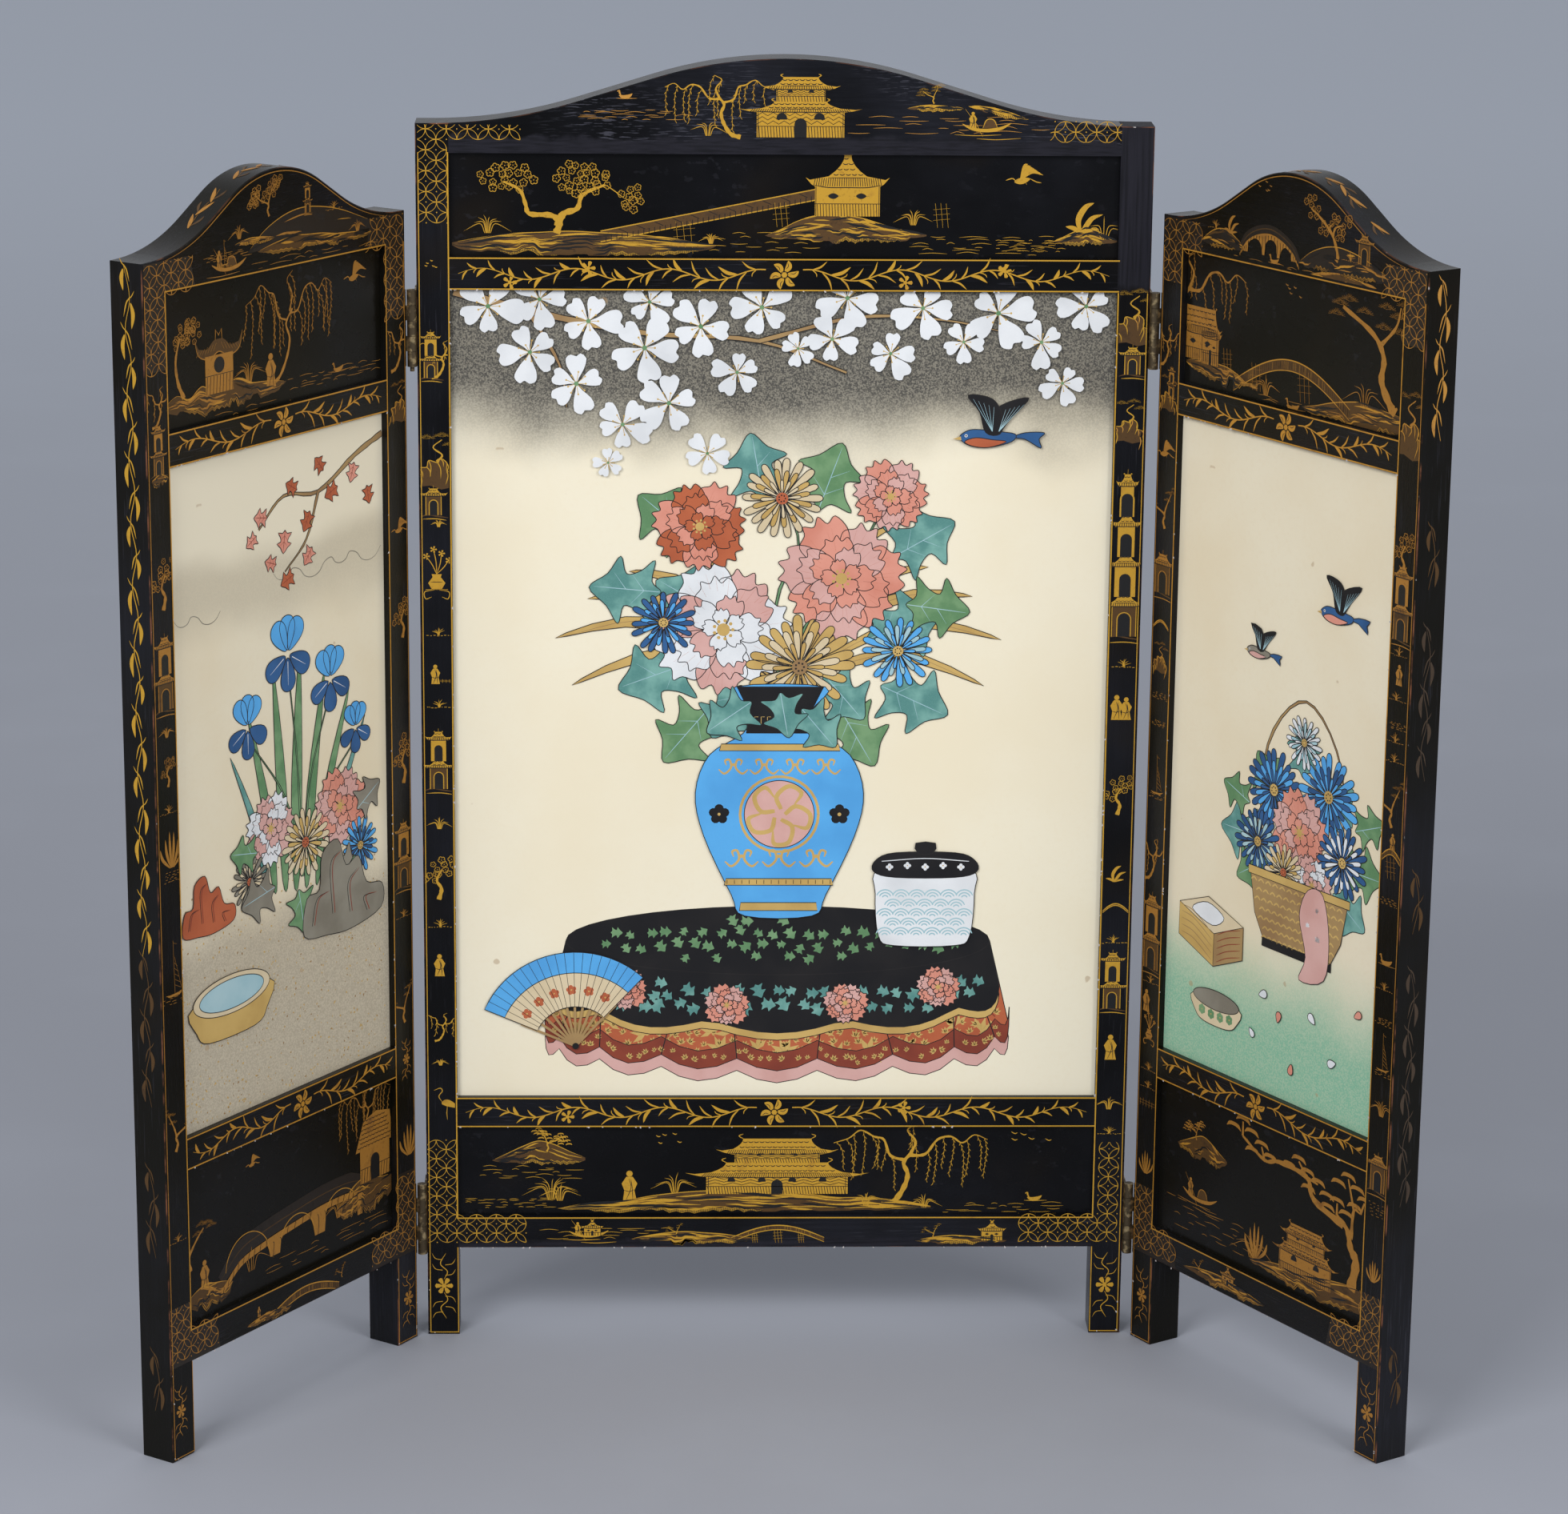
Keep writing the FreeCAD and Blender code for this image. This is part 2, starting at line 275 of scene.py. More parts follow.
class Pen:
    """Draws a motif whose points are shares of its size, from its own place on the drawing."""

    def __init__(self, drawing, place, size, mirrored=False, finish="gold", turn=0.0):
        self.drawing = drawing
        self.place = place
        self.size = size
        self.mirrored = mirrored
        self.finish = finish
        self.turn = polar(1, turn)
        self.chance = random.Random(round(abs(place) * 7 + size))

    def at(self, share):
        share = complex(share)
        return self.place + (-share.conjugate() if self.mirrored else share) * self.turn * self.size

    def line(self, shares, width=fine_line, finish=None, ends=(0.3, 0.3), flowing=True):
        """A brush line that thins towards its ends."""
        points = [self.at(share) for share in shares]
        points = smooth(points) if flowing else points
        last = len(points) - 1
        widths = [width * min(1, ends[0] + brush_fill * step / last,
                              ends[1] + brush_fill * (1 - step / last))
                  for step in range(last + 1)]
        self.drawing.ribbon(points, widths, finish or self.finish)

    def leaf(self, shares, width_share, finish=None):
        """A pointed leaf along the shares."""
        points = smooth([self.at(share) for share in shares])
        last = len(points) - 1
        widths = [width_share * self.size * math.sin(math.pi * (0.06 + 0.94 * step / last)) ** 0.8
                  for step in range(last + 1)]
        self.drawing.ribbon(points, widths, finish or self.finish)

    def fill(self, shares, finish=None, flowing=False):
        points = [self.at(share) for share in shares]
        self.drawing.fill(closed(points) if flowing else points, finish or self.finish)

    def disc(self, share, radius_share, finish=None, sides=12):
        self.fill(arc(share, radius_share, 0, 360 * (1 - 1 / sides), sides - 1), finish)

    def strip(self, first, second, finish):
        self.drawing.strip([self.at(p) for p in first], [self.at(p) for p in second], finish)

    def copy(self, motif, share, size, turn=0.0, finish=None):
        """A copy of a motif that is made once, with its own size in millimetres."""
        turn = math.degrees(cmath.phase(self.turn)) + (180 - turn if self.mirrored else turn)
        self.drawing.copy(motif, self.at(share), size, turn, finish or self.finish)

    def stem(self, style, shares, finish=None):
        self.drawing.stem(style, [self.at(share) for share in shares], finish or self.finish)

    def part(self, share, size_share):
        """A pen for a smaller motif that belongs to this one."""
        return Pen(self.drawing, self.at(share), self.size * size_share, self.mirrored,
                   self.finish, math.degrees(cmath.phase(self.turn)))

    def vary(self, low, high):
        return self.chance.uniform(low, high)

    def straight(self, shares, width=fine_line):
        """A brush line of straight stretches."""
        self.line(shares, width, flowing=False)

    def bar(self, shares, width=fine_line, finish=None):
        """A line of straight stretches that keeps its full width."""
        self.line(shares, width, finish, (1, 1), False)

    def score(self, shares):
        """An ink hairline of straight stretches."""
        self.bar(shares, hair_line, "ink")


# Objects, meshes and trees of nodes

def in_scene(name, data):
    """A new object in the scene."""
    thing = bpy.data.objects.new(name, data)
    bpy.context.scene.collection.objects.link(thing)
    return thing


def new_mesh(name, corners, edges=(), shapes=()):
    mesh = bpy.data.meshes.new(name)
    mesh.from_pydata(corners, edges, shapes)
    return mesh


def new_tree(name, tree_kind, inputs, outputs):
    """An empty tree of nodes with named inputs and outputs, and the sockets of its inputs."""
    tree = bpy.data.node_groups.new(name, tree_kind)
    for way, sockets in (("OUTPUT", outputs), ("INPUT", inputs)):
        for label, kind in sockets.items():
            tree.interface.new_socket(label, in_out=way, socket_type="NodeSocket" + kind)
    return tree, tree.nodes.new("NodeGroupInput").outputs


def growing_tree(name, inputs):
    return new_tree(name, "GeometryNodeTree",
                    {"Geometry": "Geometry", **inputs, "Material": "Material"},
                    {"Geometry": "Geometry"})


def link(tree, socket, value):
    if isinstance(value, bpy.types.NodeSocket):
        tree.links.new(value, socket)
    else:
        socket.default_value = value


def add(tree, kind, inputs=None, **settings):
    """A node whose inputs, by name or number, are set to values or linked from sockets."""
    node = tree.nodes.new(kind)
    for name, value in settings.items():
        setattr(node, name, value)
    for name, value in (inputs or {}).items():
        link(tree, node.inputs[name], value)
    return node


def sums(tree, operation, *values):
    kind = "ShaderNodeMath"
    return add(tree, kind, dict(enumerate(values)), operation=operation).outputs[0]


def times(tree, first, second):
    return sums(tree, "MULTIPLY", first, second)


def axis(tree, vector, number):
    """One of a vector's three numbers."""
    return add(tree, "ShaderNodeSeparateXYZ", {0: vector}).outputs[number]


def object_place(tree):
    return add(tree, "ShaderNodeTexCoord").outputs["Object"]


def attribute(tree, name):
    return add(tree, "GeometryNodeInputNamedAttribute", {0: name}).outputs[0]


def shape_of(tree, thing):
    return add(tree, "GeometryNodeObjectInfo", {"Object": thing}).outputs["Geometry"]


def finish_tree(tree, geometry, material):
    real = add(tree, "GeometryNodeRealizeInstances", {0: geometry})
    painted = add(tree, "GeometryNodeSetMaterial", {0: real.outputs[0], "Material": material})
    add(tree, "NodeGroupOutput", {0: painted.outputs[0]})
    return tree


def stacked(tree, geometry, layers):
    """Each point a hair above the one before, so that crossing copies don't share a plane."""
    index = add(tree, "GeometryNodeInputIndex").outputs[0]
    level = times(tree, sums(tree, "MODULO", index, layers), layer_step)
    offset = add(tree, "ShaderNodeCombineXYZ", {"Z": level}).outputs[0]
    return add(tree, "GeometryNodeSetPosition", {0: geometry, "Offset": offset}).outputs[0]


def upright_turn(tree, angle):
    vector = add(tree, "ShaderNodeCombineXYZ", {"Z": angle}).outputs[0]
    return add(tree, "FunctionNodeEulerToRotation", {0: vector}).outputs[0]


def spread(tree, seed, low, high):
    kind = "FunctionNodeRandomValue"
    return add(tree, kind, {"Seed": seed, 2: low, 3: high}).outputs[1]


def copies_tree():
    """One copy of a motif on each point, turned and sized as the point says."""
    tree, given = growing_tree("copies_on_points", {"Motif": "Object", "Layers": "Int"})
    placed = add(tree, "GeometryNodeInstanceOnPoints", {
        "Points": stacked(tree, given["Geometry"], given["Layers"]),
        "Instance": shape_of(tree, given["Motif"]),
        "Rotation": upright_turn(tree, attribute(tree, "turn")),
        "Scale": attribute(tree, "size")})
    return finish_tree(tree, placed.outputs[0], given["Material"])


def leafy_tree():
    """A stem along each line, with leaves that leave it to the left and right in turn."""
    tree, given = growing_tree("leafy_stems", {
        "Leaf": "Object", "Stem Width": "Float", "Leaf Spacing": "Float", "Leaf Angle": "Float",
        "Smallest": "Float", "Largest": "Float", "Layers": "Int", "Seed": "Int"})
    lines = add(tree, "GeometryNodeMeshToCurve", {0: given["Geometry"]}).outputs[0]
    flat = add(tree, "GeometryNodeSetCurveNormal", {0: lines}, mode="Z_UP").outputs[0]
    half = times(tree, given["Stem Width"], 0.5)
    section = add(tree, "GeometryNodeCurvePrimitiveLine", {
        "Start": add(tree, "ShaderNodeCombineXYZ", {
            "X": times(tree, half, -1)}).outputs[0],
        "End": add(tree, "ShaderNodeCombineXYZ", {"X": half}).outputs[0]})
    stem = add(tree, "GeometryNodeCurveToMesh", {0: flat, 1: section.outputs[0]}).outputs[0]
    joints = add(tree, "GeometryNodeCurveToPoints", {0: lines, "Length": given["Leaf Spacing"]},
                 mode="LENGTH")
    way = add(tree, "ShaderNodeSeparateXYZ", {0: joints.outputs["Tangent"]})
    ahead = sums(tree, "ARCTAN2", way.outputs[1], way.outputs[0])
    index = add(tree, "GeometryNodeInputIndex").outputs[0]
    side = sums(tree, "MULTIPLY_ADD", sums(tree, "MODULO", index, 2), 2, -1)
    lean = times(tree, side, given["Leaf Angle"])
    placed = add(tree, "GeometryNodeInstanceOnPoints", {
        "Points": stacked(tree, joints.outputs["Points"], given["Layers"]),
        "Instance": shape_of(tree, given["Leaf"]),
        "Rotation": upright_turn(tree, sums(tree, "ADD", ahead, lean)),
        "Scale": spread(tree, given["Seed"], given["Smallest"], given["Largest"])})
    both = add(tree, "GeometryNodeJoinGeometry")
    tree.links.new(placed.outputs[0], both.inputs[0])
    tree.links.new(stem, both.inputs[0])
    return finish_tree(tree, both.outputs[0], given["Material"])


def grown(tree, mesh, settings):
    """The flat mesh that a tree makes from points or lines."""
    thing = in_scene(tree.name, mesh)
    modifier = thing.modifiers.new(tree.name, "NODES")
    modifier.node_group = tree
    for item in tree.interface.items_tree:
        if item.name in settings:
            modifier[item.identifier] = settings[item.name]
    evaluated = thing.evaluated_get(bpy.context.evaluated_depsgraph_get())
    made = bpy.data.meshes.new_from_object(evaluated)
    bpy.data.objects.remove(thing)
    return made


# Gilt motifs. Each stands on its place, and its size is its height unless it says otherwise.

def grass(pen, blades=8):
    """Arching blades that fan out of one root."""
    for step in range(blades):
        lean = 2 * step / (blades - 1) - 1 + pen.vary(-0.12, 0.12)
        root = 0.12 * lean
        knee = complex(0.35 * lean, 0.62 - 0.15 * abs(lean))
        tip = complex(1.05 * lean, (0.95 - 0.75 * abs(lean) ** 1.5) * pen.vary(0.8, 1.05))
        pen.line([root, knee, tip], grass_line, ends=(0.8, 0.1))


sedge_reach = 1.35


def sedge(pen, blades=7):
    """A thin upright tuft on a dotted line of ground. The size is its height."""
    for step in range(blades):
        lean = 2 * step / (blades - 1) - 1 + pen.vary(-0.15, 0.15)
        height = (1 - 0.45 * abs(lean)) * pen.vary(0.75, 1.1)
        pen.line([0.08 * lean, complex(0.2 * lean, 0.6 * height), complex(0.75 * lean, height)],
                 sedge_line, ends=(1, 0.2))
    x = -sedge_reach
    while x < sedge_reach:
        dash = pen.vary(0.08, 0.3)
        level = complex(x, pen.vary(-0.1, 0.02))
        pen.bar([level, level + dash], sedge_line)
        x += dash + pen.vary(0.08, 0.2)


def broad_leaves(pen):
    """A plant with a few broad curling leaves."""
    pen.leaf([0, -0.08 + 0.45j, 0.14 + 0.85j, 0.42 + 1j], 0.20)
    pen.leaf([0, 0.18 + 0.25j, 0.38 + 0.5j, 0.72 + 0.62j], 0.17)
    pen.leaf([0, -0.22 + 0.16j, -0.5 + 0.22j], 0.15)
    pen.leaf([0, 0.3 + 0.1j, 0.6 + 0.14j], 0.12)


def water(pen, rows=5, height_share=0.3):
    """Short level dashes across still water. The size is the width."""
    for row in range(rows):
        y = -height_share * (row + 0.5) / rows
        x = pen.vary(0, 0.3)
        while x < 1:
            length = pen.vary(0.05, 0.2)
            level = complex(x, y + pen.vary(-0.3, 0.3) * height_share / rows)
            tilt = pen.vary(-0.006, 0.012)
            pen.line([level, level + length / 2 + 1j * tilt, level + length], water_line)
            x += length + pen.vary(0.02, 0.2)


def land(pen, ridge_shares, depth_share=0.05, ground="bronze", streaks=14, combs=3):
    """Ground under a ridge line, given as heights at even steps. The size is the width."""
    count = len(ridge_shares) - 1
    ridge = smooth([complex(step / count, height) for step, height in enumerate(ridge_shares)])
    last = len(ridge) - 1
    foot = []
    drop = 0.5
    for step, p in enumerate(ridge):
        if step % 3 == 0:
            drop = pen.vary(0.35, 1.0)
        ends = math.sin(math.pi * step / last) ** 0.5 if 0 < step < last else 0
        foot.append(complex(p.real, -depth_share * ends * drop))
    pen.fill(ridge + smooth(foot, 2)[::-1], ground)

    def between(step, depth):
        return ridge[step] + (foot[step] - ridge[step]) * min(1, max(0, depth))

    for _ in range(round(streaks * streak_share)):
        start = pen.chance.randrange(0, max(1, last - 5))
        end = min(last, start + pen.chance.randrange(4, 11))
        depth = pen.vary(0, 0.9)
        slope = pen.vary(0.2, 1.2) * pen.chance.choice((-1, 1))
        path = [between(step, depth + slope * (step - start) / last) for step in range(start, end + 1)]
        pen.line(path, pen.vary(0.7, 2.6) * fine_line,
                 pen.chance.choice(pen.drawing.streaks), ends=(0.1, 0.1))
    for _ in range(combs):
        start = pen.chance.randrange(1, max(2, last - 10))
        end = min(last - 1, start + pen.chance.randrange(6, 14))
        path = [between(step, 1 - 0.1 * (step % 2)) for step in range(start, end + 1)]
        pen.line(path, comb_width, "gold", ends=(0.1, 0.1), flowing=False)
        hatch(pen, path, comb_width)
    pen.line(ridge[1:-1:2], fine_line, "gold", ends=(0.2, 0.2))


def hatch(pen, path, width):
    """Short ink strokes across a painted band."""
    for a, b in zip(path, path[1:]):
        count = max(1, round(abs(b - a) * pen.size / hatch_step))
        for step in range(count):
            spot = a + (b - a) * (step + 0.5) / count
            reach = 0.42j * width / pen.size
            pen.score([spot - reach, spot + reach * 0.8])


def trunk(pen, shares, width_share, end_share=0.3):
    """A crooked trunk or branch that thins towards its tip."""
    points = smooth([pen.at(share) for share in shares])
    last = len(points) - 1
    widths = [pen.size * width_share * (1 - (1 - end_share) * step / last)
              * (1 + 0.18 * math.sin(step * 1.9)) for step in range(last + 1)]
    pen.drawing.ribbon(points, widths, pen.finish)


def foliage(pen, across_share, up_share, tuft_size):
    """A round head of small ringed tufts, loosely packed."""
    rows = max(1, round(2 * up_share * pen.size / (0.82 * tuft_size)))
    for row in range(rows):
        y = up_share * (2 * (row + 0.5) / rows - 1)
        half = across_share * math.sqrt(1 - (y / up_share) ** 2)
        count = max(1, round(1.8 * half * pen.size / tuft_size))
        for step in range(count):
            x = half * (2 * (step + 0.5 + 0.3 * (row % 2)) / count - 1)
            stray = cmath.rect(0.22 * tuft_size / pen.size, pen.vary(0, 6.3))
            pen.copy("tuft", complex(x, y) + stray, tuft_size * pen.vary(0.85, 1.15),
                     turn=pen.vary(0, 360))


def scallop_tree(pen):
    """A forked tree with three heads of scalloped foliage."""
    trunk(pen, [0, 0.04 + 0.16j, -0.08 + 0.26j, -0.38 + 0.28j, -0.44 + 0.42j, -0.52 + 0.62j,
                -0.75 + 0.74j], 0.10)
    trunk(pen, [0.02 + 0.1j, 0.1 + 0.28j, 0.3 + 0.36j, 0.38 + 0.56j, 0.7 + 0.7j], 0.11)
    pen.line([0.7 + 0.7j, 0.82 + 0.62j, 0.98 + 0.5j])
    tuft = 0.115 * pen.size
    foliage(pen.part(-0.72 + 0.8j, 1), 0.42, 0.2, tuft)
    foliage(pen.part(0.36 + 0.78j, 1), 0.40, 0.24, tuft)
    foliage(pen.part(1.06 + 0.5j, 1), 0.2, 0.19, tuft)


def round_tree(pen):
    """A slim tree with two small heads of foliage."""
    trunk(pen, [0, 0.06 + 0.25j, -0.04 + 0.45j, 0.08 + 0.7j], 0.1)
    tuft = 0.15 * pen.size
    foliage(pen.part(0.1 + 0.78j, 1), 0.3, 0.22, tuft)
    foliage(pen.part(-0.2 + 0.5j, 1), 0.2, 0.12, tuft)


def willow(pen, strands=11, fall=0.55, thick=0.075, reach=1.0):
    """A bowed willow with hanging strands. Its limbs reach to both sides."""
    trunk(pen, [-0.28, -0.12 + 0.05j, 0.0 + 0.22j, 0.05 + 0.4j, 0.0 + 0.55j, 0.1 + 0.68j], thick,
          end_share=0.5)
    left = [0.02 + 0.58j, -0.16 + 0.64j, -0.24 + 0.84j, -0.36 + 0.88j, -0.52 + 0.96j, -0.66 + 0.86j,
            -0.84 + 0.8j]
    right = [0.08 + 0.64j, 0.26 + 0.66j, 0.4 + 0.84j, 0.56 + 0.88j, 0.7 + 0.8j, 0.84 + 0.9j,
             1.0 + 0.84j]
    crown = [0.08 + 0.66j, 0.14 + 0.82j, 0.04 + 0.96j, 0.16 + 1.04j]
    left, right, crown = ([complex(p.real * reach, p.imag) for p in limb]
                          for limb in (left, right, crown))
    for limb in (left, right, crown):
        trunk(pen, limb, 0.5 * thick, end_share=0.2)
    anchors = [spot for limb in (left[1:], crown[1:], right[1:])
               for spot in smooth(limb)]
    for strand in range(strands):
        top = anchors[int((strand + 0.5) * len(anchors) / strands)]
        drop = fall * pen.vary(0.55, 1.2)
        sway = pen.vary(-0.05, 0.1)
        pen.stem("willow_leaf", [top, top + complex(0.5 * sway + 0.03, -0.35 * drop),
                                 top + complex(sway, -drop)])


def flock(pen, count=5):
    """Small far birds. The size is the width of the flock."""
    for _ in range(count):
        spot = complex(pen.vary(0, 1), pen.vary(-0.25, 0.25))
        pen.line([spot - 0.09 + 0.05j, spot, spot + 0.07 + 0.02j])


def crane(pen):
    """A crane in flight towards the left. The size is its length."""
    pen.leaf([0.12, 0.35 + 0.03j, 0.62 + 0.1j], 0.2)
    pen.line([0.16 + 0.02j, 0.06 + 0.1j, -0.05 + 0.08j, -0.16 + 0.04j], 1.2 * fine_line)
    for step in range(6):
        tip = complex(0.52 + 0.1 * step, 0.56 - 0.07 * step)
        pen.leaf([0.3 + 0.06j, 0.3 + 0.2j + 0.5 * (tip - 0.3), tip], 0.09)
    pen.line([0.6 + 0.1j, 0.8, 0.96 - 0.03j])
    pen.line([0.45, 0.5 - 0.09j])


def duck(pen):
    """A water bird. The size is its length."""
    pen.leaf([0.1 + 0.12j, 0.4, 0.75 + 0.06j, 1 + 0.24j], 0.26)
    pen.line([0.22 + 0.1j, 0.12 + 0.3j, 0.1 + 0.42j, -0.04 + 0.38j], 1.8 * fine_line)
    pen.line([-0.1 - 0.08j, 0.5 - 0.1j, 1.3 - 0.08j], hair_line)


def heron(pen):
    """A wading bird on one leg."""
    pen.leaf([0.02 + 0.5j, 0.2 + 0.5j, 0.5 + 0.36j], 0.2)
    pen.line([0.06 + 0.5j, -0.06 + 0.7j, 0.04 + 0.86j, -0.02 + 0.95j, -0.2 + 0.88j])
    pen.straight([0.18 + 0.42j, 0.16 + 0.2j, 0.18])


def boat(pen):
    """A long boat with someone at its pole. The size is its length."""
    hull = [0.12j, 0.2 - 0.01j, 0.5 - 0.05j, 0.8, 1 + 0.14j, 0.78 + 0.06j, 0.5 + 0.02j,
            0.24 + 0.04j]
    pen.fill(hull, flowing=True)
    pen.fill([0.42 + 0.03j, 0.46 + 0.18j, 0.6 + 0.22j, 0.7 + 0.16j, 0.72 + 0.04j], "bronze")
    pen.line([0.42 + 0.03j, 0.5 + 0.2j, 0.64 + 0.2j, 0.72 + 0.04j])
    figure(pen.part(0.22 + 0.03j, 0.34))
    pen.straight([0.06 + 0.42j, 0.3 + 0.1j, 0.42 - 0.14j], hair_line)
    pen.line([-0.15 - 0.1j, 0.3 - 0.12j, 0.8 - 0.1j], hair_line)
    pen.line([0.3 - 0.18j, 0.7 - 0.2j, 1.2 - 0.17j], hair_line)


def figure(pen):
    """A small robed figure."""
    pen.fill([-0.2, -0.16 + 0.34j, -0.24 + 0.56j, -0.1 + 0.78j, 0.1 + 0.78j, 0.24 + 0.56j,
              0.15 + 0.34j, 0.22])
    pen.disc(0.88j, 0.1)
    for low, high in ((-0.1, -0.02 + 0.72j), (0.1, 0.04 + 0.7j)):
        pen.line([low + 0.03j, high * 0.6 + 0.06, high], hair_line, "ink")
    pen.line([-0.16 + 0.34j, 0.3j, 0.14 + 0.36j], hair_line, "ink")


def fence(pen, posts=6):
    """Posts and rails. The size is the width."""
    for step in range(posts):
        x = step / (posts - 1)
        pen.straight([x, x + 0.3j + 0.04j * (step % 2)])
    for height in (0.12, 0.24):
        pen.straight([height * 1j - 0.05, height * 1j + 1.05], hair_line)


def trestle(pen):
    """Crossed props in the water."""
    for x in (-0.22, 0, 0.22):
        pen.straight([x + 0.06, x - 0.04 + 1j])
    for y in (0.3, 0.52, 0.74):
        pen.straight([-0.34 + 1j * y, 0.34 + 1j * (y + 0.06)], hair_line)


deck_steps = 12


def bridge(pen, rise, thick=0.07, props=0):
    """A humped bridge. The size is its span, and the props stand under its deck."""
    deck = [complex(step / deck_steps, rise * math.sin(math.pi * step / deck_steps))
            for step in range(deck_steps + 1)]
    under = [p - 1j * thick for p in deck]
    pen.fill(deck + under[::-1], "bronze")
    pen.line(deck, 1.3 * fine_line, "gold", ends=(0.5, 0.5))
    pen.line(under, fine_line, "gold", ends=(0.5, 0.5))
    strokes = max(8, round(pen.size / board_step))
    for step in range(1, strokes):
        t = step / strokes
        top = complex(t, rise * math.sin(math.pi * t) - 0.15 * thick)
        pen.line([top, top - 1j * thick * 0.7], hair_line, pen.chance.choice(("gold", "ink", "ink")),
                 flowing=False)
    for prop in range(props):
        t = (prop + 1) / (props + 1)
        height = rise * math.sin(math.pi * t) - thick + 0.06
        trestle(pen.part(complex(t, -0.06), height))


def stone_bridge(pen, deck, openings):
    """A walled bridge. The openings are given by their middles and half widths."""
    line = smooth([complex(p) for p in deck])
    foot = min(p.imag for p in line)

    def low(x, top):
        for middle, half in openings:
            if abs(x - middle.real) < half:
                return min(top - 0.02, middle.imag + math.sqrt(half ** 2 - (x - middle.real) ** 2))
        return min(top - 0.02, foot)

    fine = [a + (b - a) * step / 4 for a, b in zip(line, line[1:]) for step in range(4)]
    feet = [complex(p.real, low(p.real, p.imag - 0.06)) for p in fine]
    pen.fill([p - 0.05j for p in fine] + feet[::-1], "amber")
    pen.line(line, 0.09 * pen.size, "umber", ends=(0.6, 0.6))
    pen.line(line, fine_line, "bronze")
    for p, q in zip(fine[2::5], feet[2::5]):
        pen.line([p - 0.08j, p + (q - p) * 0.6 + 0.008, q], hair_line, "ink", (1, 1))
    for middle, half in openings:
        pen.line(arc(middle, half * 1.04, 175, 5, 12), fine_line, "gold", ends=(0.5, 0.5))


pad_spots = 0j, -1.3 - 0.95j, 1.25 - 0.85j
pad_shares = -1, -0.5 + 0.34j, 0.5 + 0.3j, 1 - 0.08j


def tree(pen, limbs, heads, kind="needles", head_share=0.2):
    """A tree with its own limbs, each a line and a width, and heads of foliage at their tips."""
    for line, width in limbs:
        trunk(pen, [complex(p) for p in line], width, end_share=0.35)
    for head in map(complex, heads):
        if kind == "needles":
            for step in (-0.5, 0, 0.5):
                pen.copy("needles", head + head_share * complex(step, 0.2 * (step == 0)),
                         0.9 * head_share * pen.size, turn=pen.vary(-8, 8))
        elif kind == "pads":
            near = min((complex(p) for line, width in limbs for p in line),
                       key=lambda p: abs(p - head))
            pen.line([near, head], 0.3 * head_share * pen.size, ends=(1, 0.6))
            for spot in pad_spots:
                middle = head + head_share * spot
                pad = [middle + head_share * share for share in pad_shares]
                pen.line(pad, 0.36 * head_share * pen.size, ends=(0.2, 0.2))
        else:
            foliage(pen.part(head, 1), 0.9 * head_share, 0.6 * head_share, tuft_width)


def crescent_roof(pen):
    """A boat-shaped roof over a wall with a round window. The size is the width of the roof."""
    pen.fill([-0.29, 0.29, 0.29 + 0.52j, -0.29 + 0.52j])
    for step in range(9):
        x = -0.27 + 0.54 * step / 8
        pen.score([x, x + 0.02 + 0.24j])
    pen.score([-0.29 + 0.25j, 0.29 + 0.25j])
    pen.disc(0.38j, 0.11, "ink", sides=18)
    under = [-0.5 + 0.78j, -0.42 + 0.55j, -0.2 + 0.48j, 0.56j, 0.2 + 0.48j, 0.42 + 0.55j,
             0.5 + 0.78j]
    over = [0.42 + 0.64j, 0.24 + 0.62j, 0.1 + 0.72j, -0.1 + 0.72j, -0.24 + 0.62j, -0.42 + 0.64j]
    pen.fill(smooth(under, 3) + smooth(over, 3), "bronze")
    pen.line(under, 1.2 * fine_line)
    for side in (-1, 1):
        for step in range(7):
            t = step / 6
            start = complex(side * (0.05 + 0.36 * t), 0.68 - 0.07 * t)
            pen.line([start, start + complex(0.06 * side, -0.1 + 0.03 * t)], 0.8 * fine_line)
    pen.line([-0.07 + 0.72j, -0.06 + 0.86j, 0.78j, 0.06 + 0.86j, 0.07 + 0.72j], 1.5 * fine_line,
             flowing=False)


def tall_roof(pen):
    """A cottage under a tall tiled roof, with an arched door. The size is the width of the roof."""
    pen.fill([-0.4, 0.4, 0.4 + 0.62j, -0.4 + 0.62j])
    pen.fill([-0.12, 0.12, *arc(0.34j, 0.12, 0, 180, 10)], "ink")
    for step in range(11):
        x = -0.38 + 0.076 * step
        if abs(x) > 0.14:
            pen.score([x, x + 0.03 + 0.24j])
    for step in range(4):
        pen.line([-0.1 + 0.06j * step, 0.1 + 0.08j + 0.06j * step], hair_line, "gold",
                 flowing=False)
    pen.score([-0.4 + 0.25j, -0.12 + 0.25j])
    pen.score([0.12 + 0.25j, 0.4 + 0.25j])
    pen.fill([-0.52 + 0.58j, 0.5 + 0.6j, 0.42 + 1.12j, 0.05 + 1.2j, -0.3 + 1.1j])
    rows = 7
    for row in range(rows):
        half = 0.48 - 0.022 * row
        count = max(2, round(2 * half * pen.size / roof_tile))
        for step in range(count):
            pen.copy("tile", complex(half * (2 * (step + 0.5 * (row % 2) + 0.2) / count - 1) * 0.92,
                                     0.66 + 0.075 * row), roof_tile, finish="ink")


